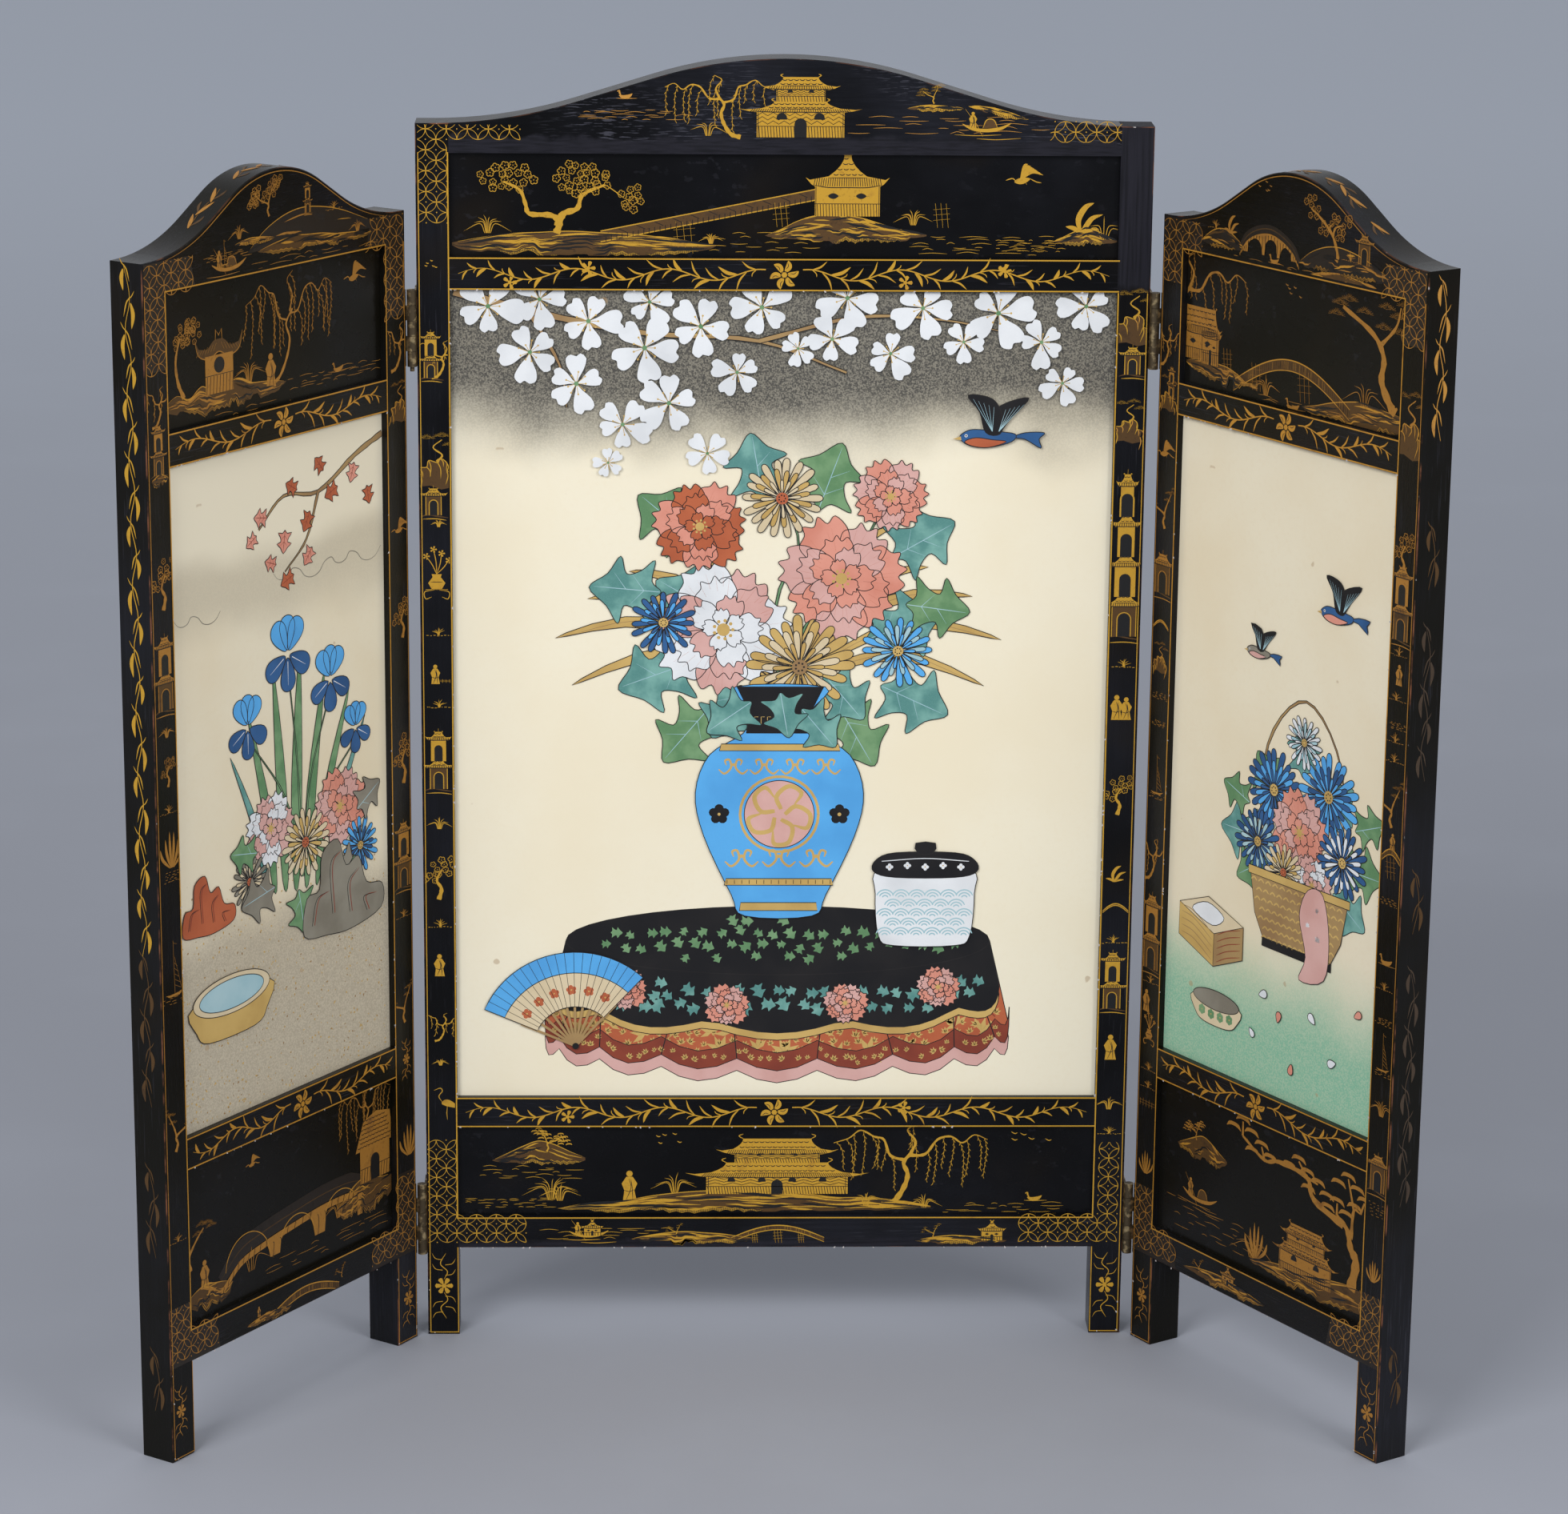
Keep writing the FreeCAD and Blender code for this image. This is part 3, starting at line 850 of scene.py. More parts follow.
def gate(pen, storeys=1):
    """A tall arched gate under a tiled roof, on a rocky foot. The size is its width."""
    level = 0.0
    pen.line([-0.75 - 0.1j, -0.3 + 0.02j, 0.2 - 0.06j, 0.8 - 0.14j], 1.6 * fine_line, "bronze")
    pen.line([-0.6 - 0.22j, 0.1 - 0.2j, 0.7 - 0.28j])
    for storey in range(storeys):
        half = 0.42 - 0.07 * storey
        foot = pen.part(1j * level, 1)
        foot.fill([-half, half, half + 1.1j, -half + 1.1j], "bronze" if storey == 0 else None)
        foot.bar([-half, -half + 1.1j, half + 1.1j, half])
        foot.fill([-0.2, 0.2, *arc(0.62j, 0.2, 0, 180, 8)], "ink")
        foot.bar([-0.24, -0.24 + 0.6j, *arc(0.62j, 0.24, 180, 0, 8), 0.24])
        for rung in (0.16, 0.32):
            foot.bar([-0.2 + 1j * rung, 0.2 + 1j * rung], hair_line)
        foot.bar([0.16j, 0.34j], hair_line)
        roof(pen.part(1j * (level + 1.08), 1), half * 1.75, half * 0.5, 0.42, 0.2, 0.7 * roof_tile)
        level += 1.42
    pen.line([1j * level, 1j * (level + 0.25)])


def sail_boat(pen):
    """A small boat with a sail. The size is its height."""
    pen.fill([-0.2 + 0.05j, -0.1, 0.16, 0.3 + 0.09j, 0.14 + 0.05j, -0.08 + 0.04j])
    pen.straight([0.04 + 0.05j, 0.02 + 1j])
    pen.straight([0.02 + 0.96j, 0.12 + 0.92j])
    for step in range(5):
        y = 0.2 + 0.1 * step
        pen.line([0.04 + 1j * y, 0.2 - 0.02 * step + 1j * (y - 0.08)])
    pen.line([0.22 + 0.1j, 0.05 + 0.7j], hair_line)
    water(pen.part(-0.35, 0.7), 3, 0.2)


def long_leaves(pen):
    """A flame of long upright leaves."""
    for lean in (-0.42, -0.22, -0.06, 0.1, 0.26, 0.44):
        tip = complex(lean, 1 - 1.1 * abs(lean))
        pen.leaf([0.15 * lean, complex(0.8 * lean, 0.5 * tip.imag), tip], 0.09)


def crag(pen):
    """A rock with a broken outline and falling strokes, and a small pine on it."""
    rim = [-0.3, -0.34 + 0.14j, -0.26 + 0.2j, -0.3 + 0.34j, -0.16 + 0.36j, -0.12 + 0.48j, 0.04 + 0.44j,
           0.08 + 0.52j, 0.2 + 0.44j, 0.2 + 0.3j, 0.32 + 0.26j, 0.28 + 0.1j, 0.34, 0.1 - 0.05j,
           -0.1 + 0.02j]
    pen.fill(rim, "bronze")
    for top in rim[1:12]:
        way = complex(pen.vary(-0.08, 0.08), -pen.vary(0.14, 0.32))
        pen.line([top, top + 0.4 * way + 0.03, top + way], fine_line,
                 pen.chance.choice(("gold", "gold", "amber")), ends=(0.9, 0.1))
    pen.line(rim[2:11], fine_line, "gold")
    tree(pen.part(0.02 + 0.46j, 1), (([0, 0.1 + 0.12j, -0.06 + 0.26j, 0.1 + 0.4j], 0.04),),
         (-0.18 + 0.42j, 0.1 + 0.46j, 0.26 + 0.3j), head_share=0.16)


def roof(pen, half, ridge_half, height, tip_rise, tile=roof_tile):
    """A tiled roof with hollow slopes and upturned corners, standing on its eaves."""
    def reach(t):
        return ridge_half + (half - ridge_half) * (1 - t) ** 2

    slope = [complex(reach(t / 6), height * t / 6) for t in range(2, 7)]
    corner = [complex(0.78 * half, -0.02 * height), complex(0.93 * half, 0.3 * tip_rise),
              complex(1.08 * half, tip_rise), complex(0.97 * half, 0.75 * tip_rise)]
    right = corner + slope
    pen.fill([0] + right + [-p.conjugate() for p in right[::-1]])
    rows = max(2, round(0.7 * height * pen.size / tile))
    for row in range(rows):
        y = height * (0.32 + 0.66 * (row + 0.5) / rows)
        half_row = reach(y / height) * 0.96
        count = max(1, round(2 * half_row * pen.size / tile))
        for step in range(count):
            x = half_row * (2 * (step + (0.25 if row % 2 else 0.6)) / count - 1)
            pen.copy("tile", complex(x, y), tile, finish="ink")
    ribs = max(3, round(1.8 * half * pen.size / rib_step))
    for rib in range(ribs):
        x = 0.9 * half * (2 * (rib + 0.5) / ribs - 1)
        pen.score([complex(x, 0.03 * height), complex(x * 0.95, 0.28 * height)])
    eaves = [complex(-0.85 * half, 0.06 * height), complex(-0.5 * half, -0.01 * height), -0.01j * height,
             complex(0.5 * half, -0.01 * height), complex(0.85 * half, 0.06 * height)]
    pen.line(eaves, fine_line, "ink", (0.5, 0.5))
    pen.line([p + 0.3j * height for p in eaves[1:-1]], hair_line, "ink", (0.5, 0.5))
    for side in (-1, 1):
        end = complex(side * ridge_half, height)
        pen.line([end * 0.98, end + 0.03 * side + 0.02j, end + 0.035j])


def window(pen, share, width, kind):
    """A dark opening: an eye with its lashes, or an arch."""
    if kind == "eye":
        pen.leaf([share - width, share, share + width], 1.1 * width, "ink")
        pen.line([share - 1.5 * width, share + 1.5 * width], hair_line, "ink")
        pen.line([share - 1.0j * width, share + 1.0j * width], hair_line, "ink")
    else:
        pen.fill([share - width, *arc(share + width * 0.3j, width, 180, 0, 8), share + width],
                 "ink")


zigzag_rows = 0.5, 0.66, 0.82
zigzag_count = 16


def wall(pen, half, height, windows, door, kind):
    """A gilt wall with dark openings over a boarded skirting."""
    pen.fill([-half, half, half + 1j * height, -half + 1j * height])
    sill = 0.42 * height
    pen.score([-half + 1j * sill, half + 1j * sill])
    boards_count = max(4, round(2 * half * pen.size / board_step))
    for step in range(1, boards_count):
        x = half * (2 * step / boards_count - 1)
        pen.score([complex(x, 0), complex(x - 0.01, sill)])
    for side in (-0.97, 0.97):
        pen.score([half * side, half * side + 1j * height])
    for row in zigzag_rows if kind == "arch" else ():
        courses = [complex(half * (2 * step / zigzag_count - 1), height * (row + 0.13 * (step % 2)))
                   for step in range(zigzag_count + 1)]
        pen.score(courses)
    for step in range(windows):
        x = half * (2 * (step + 0.5) / windows - 1) * 0.86
        if not (door and abs(x) < 0.15 * half):
            window(pen, complex(x, 0.68 * height), min(0.16 * half, 0.2 * height), kind)
    if door:
        wide = min(0.14 * half, 0.3 * height)
        pen.fill([-wide, wide, *arc(0.5j * height, wide, 0, 180, 8)], "ink")


def building(pen, storeys, kind="eye", door=True):
    """Storeys set one on another. The size is the width of the lowest wall."""
    level = 0
    for number, (half, tall, roof_half, ridge_half, roof_tall) in enumerate(storeys):
        storey = pen.part(1j * level, 1)
        wall(storey, half, tall, 2 + 2 * (half * pen.size > 45), door and number == 0, kind)
        top = pen.part(1j * (level + tall - 0.01), 1)
        roof(top, roof_half, ridge_half, roof_tall, 0.3 * roof_tall)
        level += tall + roof_tall * 0.9


def blossom(pen, petals=5):
    """A small flower of copied petals. The size is its width."""
    for petal in range(petals):
        pen.copy("petal", 0, 0.5 * pen.size, 360 * petal / petals)
    pen.disc(0, 0.13)


def vase(pen):
    """A vase of flowers on a scrolled stand."""
    pen.fill([-0.1 + 0.2j, -0.17 + 0.32j, -0.08 + 0.44j, -0.1 + 0.5j, 0.1 + 0.5j, 0.08 + 0.44j,
              0.17 + 0.32j, 0.1 + 0.2j])
    for tip in (-0.2 + 0.86j, -0.06 + 1j, 0.1 + 0.92j, 0.24 + 0.78j):
        pen.line([0.5j, 0.5j + (tip - 0.5j) * 0.5 + 0.02, tip])
        blossom(pen.part(tip, 0.14))
    for side in (-1, 1):
        pen.line([side * 0.05 + 0.18j, side * 0.24 + 0.14j, side * 0.22, side * 0.1 + 0.04j])
    pen.line([-0.22 + 0.19j, 0.22 + 0.19j], 1.5 * fine_line)
    pen.line([-0.12 + 0.34j, 0.34j, 0.12 + 0.34j], hair_line, "ink")


def spray(pen):
    """A flower on an upright winding stem with curled shoots."""
    for way in (1, -1):
        pen.line([0.1j * way, 0.05 + 0.22j * way, -0.05 + 0.34j * way, 0.03 + 0.5j * way])
        for side, near in ((1, 0.16), (-1, 0.24), (1, 0.32), (-1, 0.4)):
            root = complex(0.02 * side, near * way)
            pen.line([root, root + complex(0.1 * side, 0.02 * way),
                      root + complex(0.15 * side, 0.1 * way)], grass_line, ends=(1, 0.1))
    blossom(pen.part(0, 0.26), 6)


scroll_swing = 4.6
scroll_tip_turn, scroll_waist_turn, scroll_curl_turn = 42, 30, -46


def rail_scroll(drawing, left, right, y, flower_at, blossoms, swing):
    """A feathery scroll that runs both ways along a rail from the flower in its middle."""
    for way, end in ((-1, left), (1, right)):
        run = abs(end - flower_at)
        waves = max(1.5, round(2 * run / scroll_wave) / 2)
        count = round(run / scroll_leaf_step)
        first = round(0.6 * rail_flower / scroll_leaf_step)

        def path(step):
            sway = swing * math.sin(2 * math.pi * waves * step / count)
            return complex(flower_at + way * run * step / count, y + sway)

        pen = Pen(drawing, 0j, 1)
        pen.line([path(step) for step in range(first, count + 1)], scroll_stem, ends=(1, 0.3))
        for step in range(first + 1, count):
            side = 1 if step % 2 else -1
            root = path(step)
            ahead = path(step + 1) - root
            ahead /= abs(ahead)
            length = scroll_leaf * (1 - 0.4 * step / count) * pen.vary(0.8, 1.2)
            lean = side * way
            tip = root + ahead * length * polar(1, scroll_tip_turn * lean)
            waist = root + ahead * 0.5 * length * polar(1, scroll_waist_turn * lean)
            broad = scroll_leaf_width * (1.7 if step % 3 == 2 else 0.9)
            pen.leaf([root, waist, tip], broad)
            if step % 3 == 0:
                curl = root + ahead * 0.5 * length * polar(1, scroll_curl_turn * lean)
                pen.line([root, (root + curl) / 2 + 0.1 * ahead * length, curl], fine_line,
                         ends=(1, 0.2))
    pinwheel(Pen(drawing, complex(flower_at, y), rail_flower))
    for x, rise in blossoms:
        blossom(Pen(drawing, complex(x, y + rise), small_flower))


pinwheel_petals = 6


def pinwheel(pen):
    """A flower of curved petals, each with a dark vein. The size is its width."""
    for petal in range(pinwheel_petals):
        way = polar(0.5, 360 * petal / pinwheel_petals + 15)
        pen.leaf([0.2 * way, way * (0.6 - 0.14j), way * 0.98], 0.2)
        pen.line([0.4 * way, way * (0.62 - 0.1j), way * 0.84], hair_line, "ink")
    pen.disc(0, 0.09)
    pen.score(arc(0, 0.12, 0, 360, 12))


def crest_vine(drawing, width):
    """Worn sprays along the middle of a crest's top, every fourth one gone."""
    pen = Pen(drawing, complex(0, leaf_thickness / 2), 1, finish="amber")
    for step in range(round(crest_run_share * width / crest_leaf_step)):
        if step % 4 == 3:
            continue
        side = 1 if step % 2 else -1
        root = complex(crest_start_share * width + step * crest_leaf_step, crest_swing * side)
        pen.line([root, root + crest_leaf_step - 1j * crest_swing * side])
        for points, leaf_width, finish in crest_leaves:
            pen.leaf([root + complex(p.real, p.imag * side) for p in points], leaf_width, finish)


def hanging_vine(drawing, x, top, bottom, finish):
    """A vine down the edge of a leaf, its leaves hanging in turn to either side."""
    pen = Pen(drawing, 0j, 1, finish=finish)
    count = round((top - bottom) / vine_step)
    nodes = [complex(x + vine_swing * (1 if step % 2 else -1), top - vine_step * step)
             for step in range(count + 1)]
    pen.line(nodes, fine_line, ends=(0.5, 0.5))
    for step, node in enumerate(nodes[:-1]):
        side = -1 if step % 2 else 1
        length = vine_leaf * pen.vary(0.85, 1.1)
        pen.line([node, node + complex(0.16 * side, -0.2) * length,
                  node + complex(0.3 * side, -0.7) * length], vine_tendril, ends=(1, 0.1))
        pen.line([node, node + complex(-0.1 * side, 0.08) * length,
                  node + complex(-0.22 * side, 0.28) * length], fine_line, ends=(1, 0.1))
        tip = node + complex(-0.06 * side, -1.12) * length
        waist = node + complex(-0.14 * side, -0.6) * length
        drop = node + complex(-0.04 * side, -0.18) * length
        pen.leaf([drop, waist, tip], vine_leaf_width)
        pen.line([drop, waist, (waist + tip) / 2], hair_line, "umber")


# Petals and leaves that point to the right

petal_shares = (0.1, 0.4 + 0.22j, 0.72 + 0.3j, 0.93 + 0.2j, 1.0, 0.93 - 0.2j, 0.72 - 0.3j,
                0.4 - 0.22j)
notched_shares = (0.04, 0.28 + 0.12j, 0.6 + 0.31j, 0.88 + 0.34j, 1.0 + 0.17j, 0.94 - 0.02j,
                  1.04 - 0.16j, 0.86 - 0.36j, 0.5 - 0.26j, 0.22 - 0.1j)
ragged_shares = (0.1, 0.4 + 0.3j, 0.7 + 0.42j, 0.86 + 0.27j, 1.0 + 0.24j, 0.93 + 0.08j,
                 1.06 - 0.04j, 0.9 - 0.14j, 0.97 - 0.3j, 0.7 - 0.4j, 0.4 - 0.3j)
slim_shares = (0.2, 0.55 + 0.07j, 0.9 + 0.085j, 1.0, 0.9 - 0.085j, 0.55 - 0.07j)
lobed_shares = (0, 0.14 + 0.16j, 0.1 + 0.46j, 0.3 + 0.3j, 0.5 + 0.24j, 0.56 + 0.5j, 0.74 + 0.26j,
                1.0 + 0.02j, 0.76 - 0.2j, 0.6 - 0.46j, 0.5 - 0.22j, 0.3 - 0.28j, 0.12 - 0.44j,
                0.14 - 0.14j)

# Small motifs at a size of one, which the trees copy

def small_motif(name, draw):
    """An object that holds a motif, drawn round the origin."""
    drawing = Drawing(None, {"gold": 0.0})
    draw(Pen(drawing, 0j, 1.0))
    corners = [(p.real, p.imag, 0) for p, _ in drawing.corners]
    return in_scene(name, new_mesh(name, corners, shapes=drawing.shapes))


def draw_tuft(pen):
    for lobe in range(5):
        angle = 72 * lobe
        centre = polar(0.27, angle)
        pen.line(arc(centre, 0.21, angle - 112, angle + 112, 5), 0.08, ends=(0.9, 0.9),
                 flowing=False)
    pen.disc(0, 0.07, sides=6)


def draw_needles(pen):
    for angle in (0, 32, 64, 90, 116, 148, 180):
        tip = polar(0.55, angle)
        pen.line([tip * 0.15, complex(tip.real, tip.imag * 0.6)], 0.07, flowing=False)


def draw_tile(pen):
    pen.line(arc(0.42j, 0.6, 225, 315, 5), 0.15, ends=(0.6, 0.6), flowing=False)


def draw_petal(pen):
    pen.fill([0.12, 0.5 - 0.2j, 0.86 - 0.26j, 1 - 0.05j, 0.94, 1 + 0.05j, 0.86 + 0.26j,
              0.5 + 0.2j])


def draw_slim_leaf(pen):
    pen.leaf([0, 0.5 + 0.06j, 1], 0.16)


def draw_lens(pen):
    radius = math.sqrt(0.5)
    for side in (-1, 1):
        rim = arc(-0.5j * side, radius, 90 * side - 45, 90 * side + 45, 8)
        widths = [0.031 + 0.032 * abs(step / 4 - 1) ** 2 for step in range(9)]
        pen.drawing.ribbon([pen.at(p) for p in rim], widths)


def draw_dot(pen):
    pen.disc(0, 0.5, sides=6)


def small_leaf(pen, root, tip, width_share):
    way = tip - root
    pen.fill([root, root + way * complex(0.45, -width_share), tip,
              root + way * complex(0.45, width_share)])


def draw_sprig(pen):
    small_leaf(pen, -0.5j, 0.5j, 0.2)
    for side in (-1, 1):
        small_leaf(pen, -0.35j, 0.5 * side + 0.3j, 0.2)
        small_leaf(pen, -0.45j, 0.6 * side - 0.2j, 0.2)


def draw_leaflet(pen):
    pen.fill(closed([p - 0.5 for p in lobed_shares], 2))


def draw_lotus(pen):
    for angle in (10, 50, 90, 130, 170):
        small_leaf(pen, -0.4j, polar(0.9, angle) - 0.4j, 0.17)


def draw_grain(pen):
    pen.fill([-0.4 - 0.1j, 0.1 - 0.28j, 0.42, 0.06 + 0.24j])


small_motifs = {
    "tuft": draw_tuft, "needles": draw_needles, "tile": draw_tile, "petal": draw_petal,
    "slim_leaf": draw_slim_leaf,
    "lens": draw_lens, "dot": draw_dot, "sprig": draw_sprig, "grain": draw_grain,
    "leaflet": draw_leaflet, "lotus": draw_lotus,
}

# Leafy stems: leaf, stem width, spacing, angle in degrees, and smallest and largest leaf
stem_styles = {
    "willow_leaf": ("slim_leaf", 0.34, 2.6, 30, 2.0, 3.4),
}

# Scrolls on the rails, and the lattice
scroll_wave = 78.0
scroll_leaf_step = 7.6
scroll_leaf = 17.0
scroll_leaf_width = 1.7
scroll_stem = 1.0
rail_flower = 25.0
small_flower = 12.0
lattice_step = 8.5
lattice_dot = 1.1

# Vines on the wings' outer edges and crests
crest_leaf_step = 14.0
crest_swing = 2.0
crest_start_share = 0.22
crest_run_share = 0.56
crest_leaves = (((0j, 7 - 3j, 15 - 7j), 3.4, None), ((3 + 0j, 9 + 4j, 14 + 5j), 2.2, "bronze"))
crest_clearance = 0.15
arris_chamfer = 0.8
flat_depth = 0.05
vine_step = 25.0
vine_swing = 2.6
vine_leaf = 20.0
vine_leaf_width = 3.7
vine_tendril = 1.1

motif_objects = {name: small_motif(name, draw) for name, draw in small_motifs.items()}
copies_on_points = copies_tree()
leafy_stems = leafy_tree()


def points_mesh(spots):
    """A mesh of loose points that carry a turn and a size."""
    mesh = new_mesh("points", [(place.real, place.imag, 0) for place, _, _ in spots])
    for name, values in (("size", [s[1] for s in spots]), ("turn", [s[2] for s in spots])):
        mesh.attributes.new(name, "FLOAT", "POINT").data.foreach_set("value", values)
    return mesh


def lines_mesh(lines):
    corners = [(p.real, p.imag, 0) for line in lines for p in line]
    edges = []
    first = 0
    for line in lines:
        edges += [(first + step, first + step + 1) for step in range(len(line) - 1)]
        first += len(line)
    return new_mesh("lines", corners, edges)


def grow_copies(drawing, motif, spots, material):
    return grown(copies_on_points, points_mesh(spots), {
        "Motif": motif_objects[motif], "Layers": drawing.layers, "Material": material})


def grow_stems(drawing, style, lines, material):
    leaf, width, spacing, angle, smallest, largest = stem_styles[style]
    return grown(leafy_stems, lines_mesh(lines), {
        "Leaf": motif_objects[leaf], "Stem Width": width, "Leaf Spacing": spacing,
        "Leaf Angle": math.radians(angle), "Smallest": smallest, "Largest": largest,
        "Layers": drawing.layers, "Seed": len(lines), "Material": material})


def grow(drawing, materials):
    """Turns the noted copies and stems into shapes of the drawing."""
    top = drawing.level
    for noted, make in ((drawing.copies, grow_copies), (drawing.stems, grow_stems)):
        for (kind, finish, level), places in noted.items():
            drawing.level = level
            mesh = make(drawing, kind, places, materials[finish])
            drawing.take(mesh, [finish], drawing.base(finish))
        noted.clear()
    drawing.level = top


def inside(point, outline):
    """Whether a point lies within an outline."""
    hits = 0
    for a, b in zip(outline, outline[1:] + outline[:1]):
        if (a.imag > point.imag) != (b.imag > point.imag):
            hits += point.real < a.real + (b - a).real * (point.imag - a.imag) / (b - a).imag
    return hits % 2 == 1


def cut_to(mesh, left, right, low, high):
    """Cuts a flat mesh to a rectangle."""
    shape = bmesh.new()
    shape.from_mesh(mesh)
    for place, way in (((left, 0, 0), (-1, 0, 0)), ((right, 0, 0), (1, 0, 0)),
                       ((0, low, 0), (0, -1, 0)), ((0, high, 0), (0, 1, 0))):
        bmesh.ops.bisect_plane(shape, geom=[*shape.verts, *shape.edges, *shape.faces],
                               plane_co=place, plane_no=way, clear_outer=True)
    shape.to_mesh(mesh)
    shape.free()


def lattice(drawing, outline, bounds, materials, finish, ground=None):
    """Interlaced rings inside an outline, cut to bounds, their own arcs making its inner edge."""
    left, right, low, high = bounds
    if ground:
        drawing.fill([complex(min(max(p.real, left), right), min(max(p.imag, low), high))
                      for p in outline], ground)
    columns = range(math.floor(left / lattice_step) - 1, math.ceil(right / lattice_step) + 1)
    rows = range(math.floor(low / lattice_step) - 1, math.ceil(high / lattice_step) + 1)
    lenses, dots = [], []
    for column in columns:
        for row in rows:
            middle = complex(column + 0.5, row + 0.5) * lattice_step
            turn = math.radians(45 if (column + row) % 2 == 0 else -45)
            if inside(middle, outline):
                lenses.append((middle, lattice_step * math.sqrt(2), turn))
            node = complex(column, row) * lattice_step
            if (column + row) % 2 and inside(node, outline):
                dots.append((node, lattice_dot, 0.0))
    for motif, spots in (("lens", lenses), ("dot", dots)):
        if spots:
            mesh = grow_copies(drawing, motif, spots, materials[finish])
            cut_to(mesh, *bounds)
            drawing.take(mesh, [finish], drawing.base(finish))


# Materials

def new_material(name):
    material = bpy.data.materials.new(name)
    material.use_nodes = True
    tree = material.node_tree
    return material, tree, tree.nodes["Principled BSDF"].inputs


def dress(tree, shader, **values):
    """Sets or links the shader's inputs, with underscores for the spaces in their names."""
    for name, value in values.items():
        link(tree, shader[name.replace("_", " ")], value)


def rgb(*parts):
    return (*parts, 1.0)


def noise(tree, vector, scale, detail=3.0, stretch=None):
    if stretch:
        vector = add(tree, "ShaderNodeVectorMath", {0: vector, 1: stretch},
                     operation="MULTIPLY").outputs[0]
    return add(tree, "ShaderNodeTexNoise", {"Vector": vector, "Scale": scale,
                                            "Detail": detail}).outputs[0]


def above(tree, value, low, high):
    """0 under low, 1 over high and a smooth rise between them."""
    return add(tree, "ShaderNodeMapRange", {0: value, 1: low, 2: high},
               interpolation_type="SMOOTHSTEP").outputs[0]


def blend(tree, share, first, second):
    kind = "ShaderNodeMix"
    return add(tree, kind, {0: share, 6: first, 7: second}, data_type="RGBA").outputs[2]


def use_group(tree, group, inputs):
    return add(tree, "ShaderNodeGroup", inputs, node_tree=group).outputs


def bump(tree, height, distance):
    inputs = {"Height": height, "Distance": distance, "Strength": 1.0}
    return add(tree, "ShaderNodeBump", inputs).outputs[0]


# Colours
lacquer_black = rgb(0.0020, 0.0020, 0.0024)
# The wings' black is lighter and warmer than the middle leaf's: painted sheen for the reflections on the
# turned wings
wing_black_painted_sheen = rgb(0.0060, 0.0052, 0.0030)
# Pale bluish colour painted into the lacquer in cloudy patches: painted sheen that stands in for reflections
painted_sheen_colour = rgb(0.016, 0.017, 0.024)
lacquer_brown = rgb(0.012, 0.008, 0.004)
bare_ground = rgb(0.20, 0.075, 0.035)
chalk_ground = rgb(0.52, 0.48, 0.46)
worn_streak = rgb(0.055, 0.055, 0.070)
retouch_dark = rgb(0.006, 0.006, 0.009)
retouch_grey = rgb(0.014, 0.0135, 0.020)
paper_cream = rgb(0.84, 0.76, 0.58)
paper_stain = rgb(0.79, 0.68, 0.48)
# Lighter copies of the paper colours for the middle picture: painted light
painted_light_cream = rgb(0.89, 0.82, 0.64)
painted_light_stain = rgb(0.86, 0.77, 0.57)
foxing_brown = rgb(0.42, 0.27, 0.13)
dusk_wash = rgb(0.072, 0.068, 0.060)
meadow_wash = rgb(0.24, 0.50, 0.34)
mist_wash = rgb(0.62, 0.55, 0.41)
# Darkens the bottom of the left picture: partly sandy ground, partly painted shade
sand_and_shade_wash = rgb(0.46, 0.40, 0.30)
brass_dark = rgb(0.10, 0.075, 0.045)
brass_rubbed = rgb(0.50, 0.38, 0.20)


def leaf_space(tree, body, normal=False):
    """The surface's own place (or normal) on its leaf: along it, into it and up."""
    source = add(tree, "ShaderNodeTexCoord").outputs["Normal" if normal else "Object"]
    corner = (0, 0, 0) if normal else faces[body].corner
    return add(tree, "ShaderNodeMapping", {
        "Vector": source, "Location": corner, "Rotation": (0, 0, math.radians(fold_angles[body]))},
        vector_type="TEXTURE").outputs[0]


